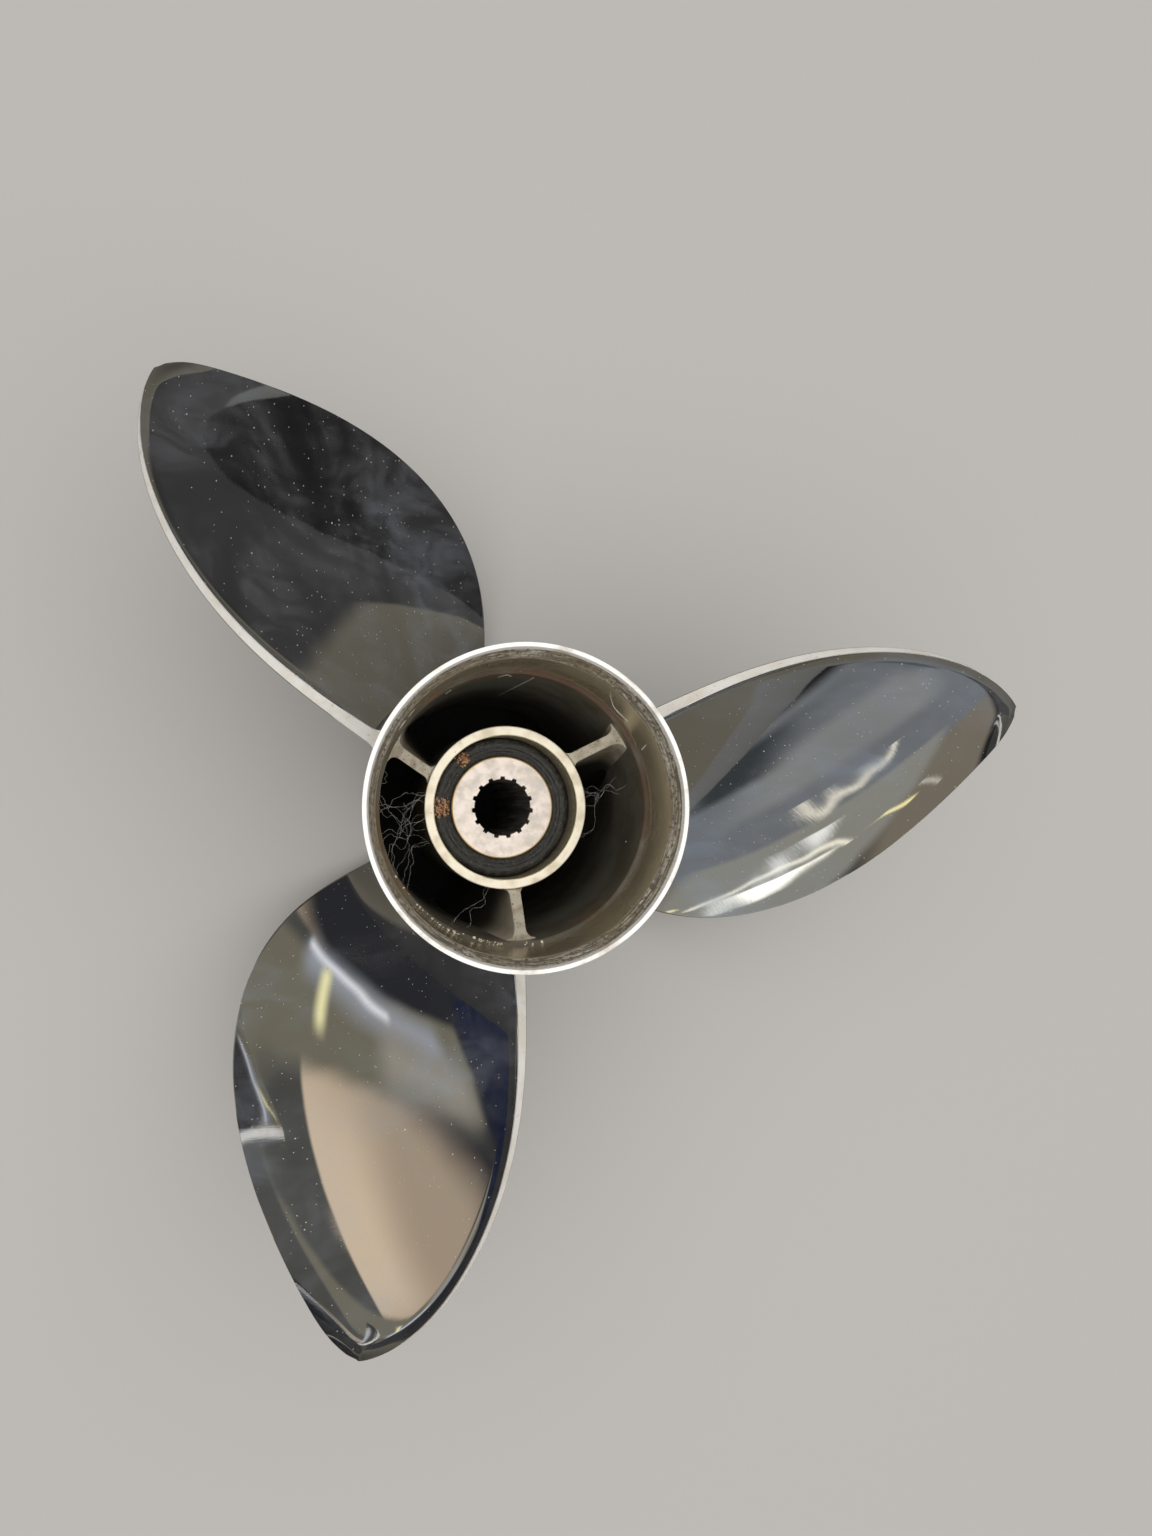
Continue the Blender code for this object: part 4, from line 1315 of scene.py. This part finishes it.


# Floor, studio light and camera. A plain pale floor under the front rim, painted dark inside the rim
# as shade and painted darker in reflections, one wide soft light overhead, and for the polished
# blades to mirror, a lit screen close by and a studio sky with soft boxes painted on it. The
# screen shows in reflections only.
FLOOR_SIZE = 8.0
FLOOR_PALE = (0.50, 0.49, 0.475)
# Painted shade: the floor inside the front rim is dark for all rays, so the passages look dark.
DISC_RADIUS = 0.0506
DISC_SOFTNESS = 0.002
SHADE_DISC_DARK = (0.01, 0.01, 0.01)
# Painted reflection: colours that glossy rays see on the floor in place of its pale colour, brownish
# near the propeller, dark far off and grey beyond.
MIRRORED_NEAR = (0.135, 0.125, 0.098)
MIRRORED_FAR = (0.017, 0.017, 0.021)
MIRRORED_GREY = (0.15, 0.155, 0.16)
NEAR_ACROSS = (-0.20, 0.36)
NEAR_BACK = (-0.75, 0.23)
NEAR_SOFTNESS = 0.02
GREY_BEYOND = (-0.36, -0.40)
GREY_RIGHT_OF = (-0.22, -0.18)
CAMERA_PLACE = (-0.0759, 0.0003, 0.5501)
CAMERA_TILT = -0.0346
CAMERA_TURN = 0.2285
CAMERA_LENS = 26.15
OVERHEAD_SIZE = 4.0
OVERHEAD_HEIGHT = 2.2
OVERHEAD_POWER = 24.0
DOME_LOW = (0.018, 0.018, 0.020)
DOME_HIGH = (1.05, 1.03, 1.0)
DOME_RISE = (26.0, 38.0)
BACKDROP = (0.72, 0.71, 0.69)
SCREEN_FACING = 125.0
SCREEN_DISTANCE = 0.40
SCREEN_HALF_WIDTH = 0.60
SCREEN_HEIGHT = 0.34
SCREEN_DARK = (0.030, 0.031, 0.037)
CM_PER_METRE = 100.0

# Soft boxes: name, the measures that BOX_SOCKETS names, and colour. Places, sizes and softness
# are in degrees on the sky and in centimetres on the screen, and the roll is in degrees.
BOX_SOCKETS = ("Centre Across", "Centre Up", "Half Width", "Half Height", "Roll", "Softness")
SKY_BOXES = (
    ("grey wall", -104.0, 8.0, 27.0, 12.0, -25.0, 4.0, (0.20, 0.215, 0.235)),
    ("pale cloud", -95.0, 8.5, 7.0, 2.4, -25.0, 5.0, (0.30, 0.31, 0.31)),
    ("dark wall", -88.0, 0.5, 6.0, 3.2, -25.0, 4.0, (0.050, 0.060, 0.066)),
    ("brown strip", -138.0, 10.8, 20.0, 9.0, 0.0, 4.0, (0.24, 0.21, 0.17)),
    ("pale wall", -128.0, 20.3, 15.0, 3.0, -17.0, 2.4, (0.33, 0.33, 0.30)),
    ("long strip", -113.5, 17.9, 9.0, 0.10, -25.0, 0.45, (1.6, 1.5, 1.26)),
    ("strip's end", -124.5, 20.6, 4.5, 0.20, 3.0, 0.6, (1.5, 1.42, 1.2)),
    ("white strip", -124.0, 21.0, 7.0, 0.22, -17.0, 0.7, (1.6, 1.62, 1.6)),
    ("yellow streak", -129.5, 17.8, 2.2, 0.35, 30.0, 0.8, (1.4, 1.28, 0.66)),
    ("low strip", -131.5, 14.8, 4.0, 0.2, 20.0, 0.7, (0.8, 0.77, 0.66)),
    ("window", -130.0, 22.7, 3.0, 0.6, -20.0, 1.2, (3.2, 3.1, 2.7)),
)
SCREEN_PATCHES = (
    ("tan wall", 8.0, 20.5, 34.0, 7.0, 16.0, 6.0, (0.50, 0.40, 0.30)),
    ("tan glow", 3.5, 25.5, 9.0, 6.5, 6.0, 10.0, (0.84, 0.68, 0.51)),
    ("grey wall", -19.5, 18.0, 20.0, 7.4, -3.0, 1.0, (0.088, 0.088, 0.083)),
    ("olive band", 8.0, 14.0, 24.0, 4.3, -9.0, 1.9, (0.21, 0.195, 0.15)),
    ("white glow", 12.0, 10.6, 14.0, 1.4, -3.0, 4.0, (0.42, 0.45, 0.52)),
    ("white strip", 7.0, 10.3, 9.0, 0.3, 0.0, 1.6, (1.2, 1.22, 1.3)),
    ("yellow strip", 3.4, 13.6, 0.9, 2.6, -6.0, 2.0, (1.2, 1.12, 0.62)),
    ("soft glow", 23.0, 13.3, 8.0, 2.2, -5.0, 5.0, (0.40, 0.37, 0.32)),
    ("navy wall", 44.0, 6.0, 12.0, 9.0, -12.0, 5.0, (0.014, 0.019, 0.045)),
)


def between(tree, value, low, high):
    """A mask that is 1 between low and high, with soft edges."""
    rising = ramp(tree, value, low - NEAR_SOFTNESS, low + NEAR_SOFTNESS)
    return times(tree, rising, ramp(tree, value, high + NEAR_SOFTNESS, high - NEAR_SOFTNESS))


def floor_finish():
    """Matt and pale. Glossy rays see it painted darker, a painted reflection, so that the polish reads
    as dark metal; inside the front rim it is painted dark as shade.
    """
    material, tree, shader, place = start_finish("studio_floor", 0.0, FLOOR_PALE)
    # Painted reflection: glossy rays see the darker floor colours below, everything else sees the pale
    # floor.
    mirrored = tree.nodes.new("ShaderNodeLightPath").outputs["Is Glossy Ray"]
    parts = add_node(tree, "ShaderNodeSeparateXYZ", {0: place}).outputs
    grey = times(tree, ramp(tree, parts["Y"], *GREY_BEYOND), ramp(tree, parts["X"], *GREY_RIGHT_OF))
    far = blend_colours(tree, grey, MIRRORED_FAR, MIRRORED_GREY)
    across = between(tree, parts["X"], *NEAR_ACROSS)
    near = times(tree, across, between(tree, parts["Y"], *NEAR_BACK))
    painted_reflection = blend_colours(tree, near, far, MIRRORED_NEAR)
    seen = blend_colours(tree, mirrored, FLOOR_PALE, painted_reflection)
    # Painted shade: a dark disc on the floor inside the front rim.
    radius = round_shaft(tree, place)["Radius"]
    shade = ramp(tree, radius, DISC_SOFTNESS + DISC_RADIUS, DISC_RADIUS)
    feed(shader, blend_colours(tree, shade, seen, SHADE_DISC_DARK), 0.9)
    return material


def studio_sheet(name, corners, finish):
    mesh = mesh_of(name, corners, [], [(0, 1, 2, 3)])
    mesh.materials.append(finish)
    sheet = bpy.data.objects.new(name, mesh)
    bpy.context.scene.collection.objects.link(sheet)
    return sheet


across = Vector((0.5 * FLOOR_SIZE, 0.0, 0.0))
back = Vector((0.0, 0.5 * FLOOR_SIZE, 0.0))
floor_corners = [-across - back, across - back, across + back, back - across]
floor = studio_sheet("floor", floor_corners, floor_finish())

overhead = bpy.data.lights.new("overhead_light", "AREA")
overhead.shape = "SQUARE"
overhead.size = OVERHEAD_SIZE
overhead.energy = OVERHEAD_POWER
overhead.color = (1.0, 0.98, 0.95)
overhead_light = bpy.data.objects.new("overhead_light", overhead)
overhead_light.location = (0.0, 0.0, OVERHEAD_HEIGHT)
bpy.context.scene.collection.objects.link(overhead_light)


def soft_box_group():
    """A soft-edged rectangle, by its place, size, roll and softness, across in degrees or in cm."""
    sockets = [(name, "Float", 0.0) for name in ("Across", "Up") + BOX_SOCKETS]
    tree, given, wanted = start_group("Shader", "soft_box", sockets, [("Mask", "Float")])
    offset = maths(tree, "SUBTRACT", given["Across"], given["Centre Across"])
    wrapping = {0: offset, 1: 180.0, 2: -180.0}
    across = result(tree, "ShaderNodeMath", wrapping, operation="WRAP")
    up = maths(tree, "SUBTRACT", given["Up"], given["Centre Up"])
    roll = maths(tree, "RADIANS", given["Roll"])
    cosine, sine = maths(tree, "COSINE", roll), maths(tree, "SINE", roll)
    along = maths(tree, "ADD", times(tree, across, cosine), times(tree, up, sine))
    away = maths(tree, "SUBTRACT", times(tree, up, cosine), times(tree, across, sine))
    masks = []
    for offset, half_size in ((along, given["Half Width"]), (away, given["Half Height"])):
        inside = maths(tree, "SUBTRACT", half_size, maths(tree, "ABSOLUTE", offset))
        masks.append(ramp(tree, maths(tree, "DIVIDE", inside, given["Softness"]), -0.5, 0.5))
    tree.links.new(times(tree, *masks), wanted["Mask"])
    return tree


SOFT_BOX = soft_box_group()


def lay_boxes(tree, boxes, across, up, colour):
    """Lay a list of soft boxes over a colour, each over the ones before it."""
    for name, *measures, glow in boxes:
        inputs = {"Across": across, "Up": up, **dict(zip(BOX_SOCKETS, measures))}
        mask = use_group(tree, SOFT_BOX, inputs, label=name)["Mask"]
        colour = blend_colours(tree, mask, colour, glow)
    return colour


facing = math.radians(SCREEN_FACING)
screen_out = Vector((math.cos(facing), math.sin(facing), 0.0))
screen_across = Vector((-math.sin(facing), math.cos(facing), 0.0))


def screen_glow():
    """The screen's own light, patched in centimetres across it and up from the floor."""
    material, tree, shader, place = start_finish("lit_screen", 0.0, (0.0, 0.0, 0.0))
    shader.inputs["Specular IOR Level"].default_value = 0.0
    along = vector_maths(tree, "DOT_PRODUCT", place, CM_PER_METRE * screen_across)
    height = add_node(tree, "ShaderNodeSeparateXYZ", {0: place}).outputs["Z"]
    up = times(tree, height, CM_PER_METRE)
    glow = lay_boxes(tree, SCREEN_PATCHES, along, up, SCREEN_DARK)
    tree.links.new(glow, shader.inputs["Emission Color"])
    shader.inputs["Emission Strength"].default_value = 1.0
    return material


foot = SCREEN_DISTANCE * screen_out
reach = SCREEN_HALF_WIDTH * screen_across
rise = Vector((0.0, 0.0, SCREEN_HEIGHT))
screen_corners = [foot - reach, foot + reach, foot + reach + rise, foot - reach + rise]
screen = studio_sheet("screen", screen_corners, screen_glow())
screen.visible_camera = False
screen.visible_diffuse = False
screen.visible_transmission = False
screen.visible_shadow = False

world = bpy.data.worlds.new("studio")
world.use_nodes = True
sky = world.node_tree
direction = sky.nodes.new("ShaderNodeTexCoord").outputs["Generated"]
parts = add_node(sky, "ShaderNodeSeparateXYZ", {0: direction}).outputs
azimuth = maths(sky, "DEGREES", maths(sky, "ARCTAN2", parts["Y"], parts["X"]))
elevation = maths(sky, "DEGREES", maths(sky, "ARCSINE", parts["Z"]))
dome = blend_colours(sky, ramp(sky, elevation, *DOME_RISE), DOME_LOW, DOME_HIGH)
studio = lay_boxes(sky, SKY_BOXES, azimuth, elevation, dome)
seen_directly = sky.nodes.new("ShaderNodeLightPath").outputs["Is Camera Ray"]
backdrop = blend_colours(sky, seen_directly, studio, BACKDROP)
sky.links.new(backdrop, sky.nodes["Background"].inputs["Color"])
bpy.context.scene.world = world

lens = bpy.data.cameras.new("camera")
lens.lens = CAMERA_LENS
lens.clip_start = 0.01
camera = bpy.data.objects.new("camera", lens)
tilt = Matrix.Rotation(-CAMERA_TURN, 4, "Y") @ Matrix.Rotation(-CAMERA_TILT, 4, "X")
camera.matrix_world = Matrix.Translation(CAMERA_PLACE) @ tilt
bpy.context.scene.collection.objects.link(camera)
bpy.context.scene.camera = camera
bpy.context.scene.view_settings.view_transform = "Standard"
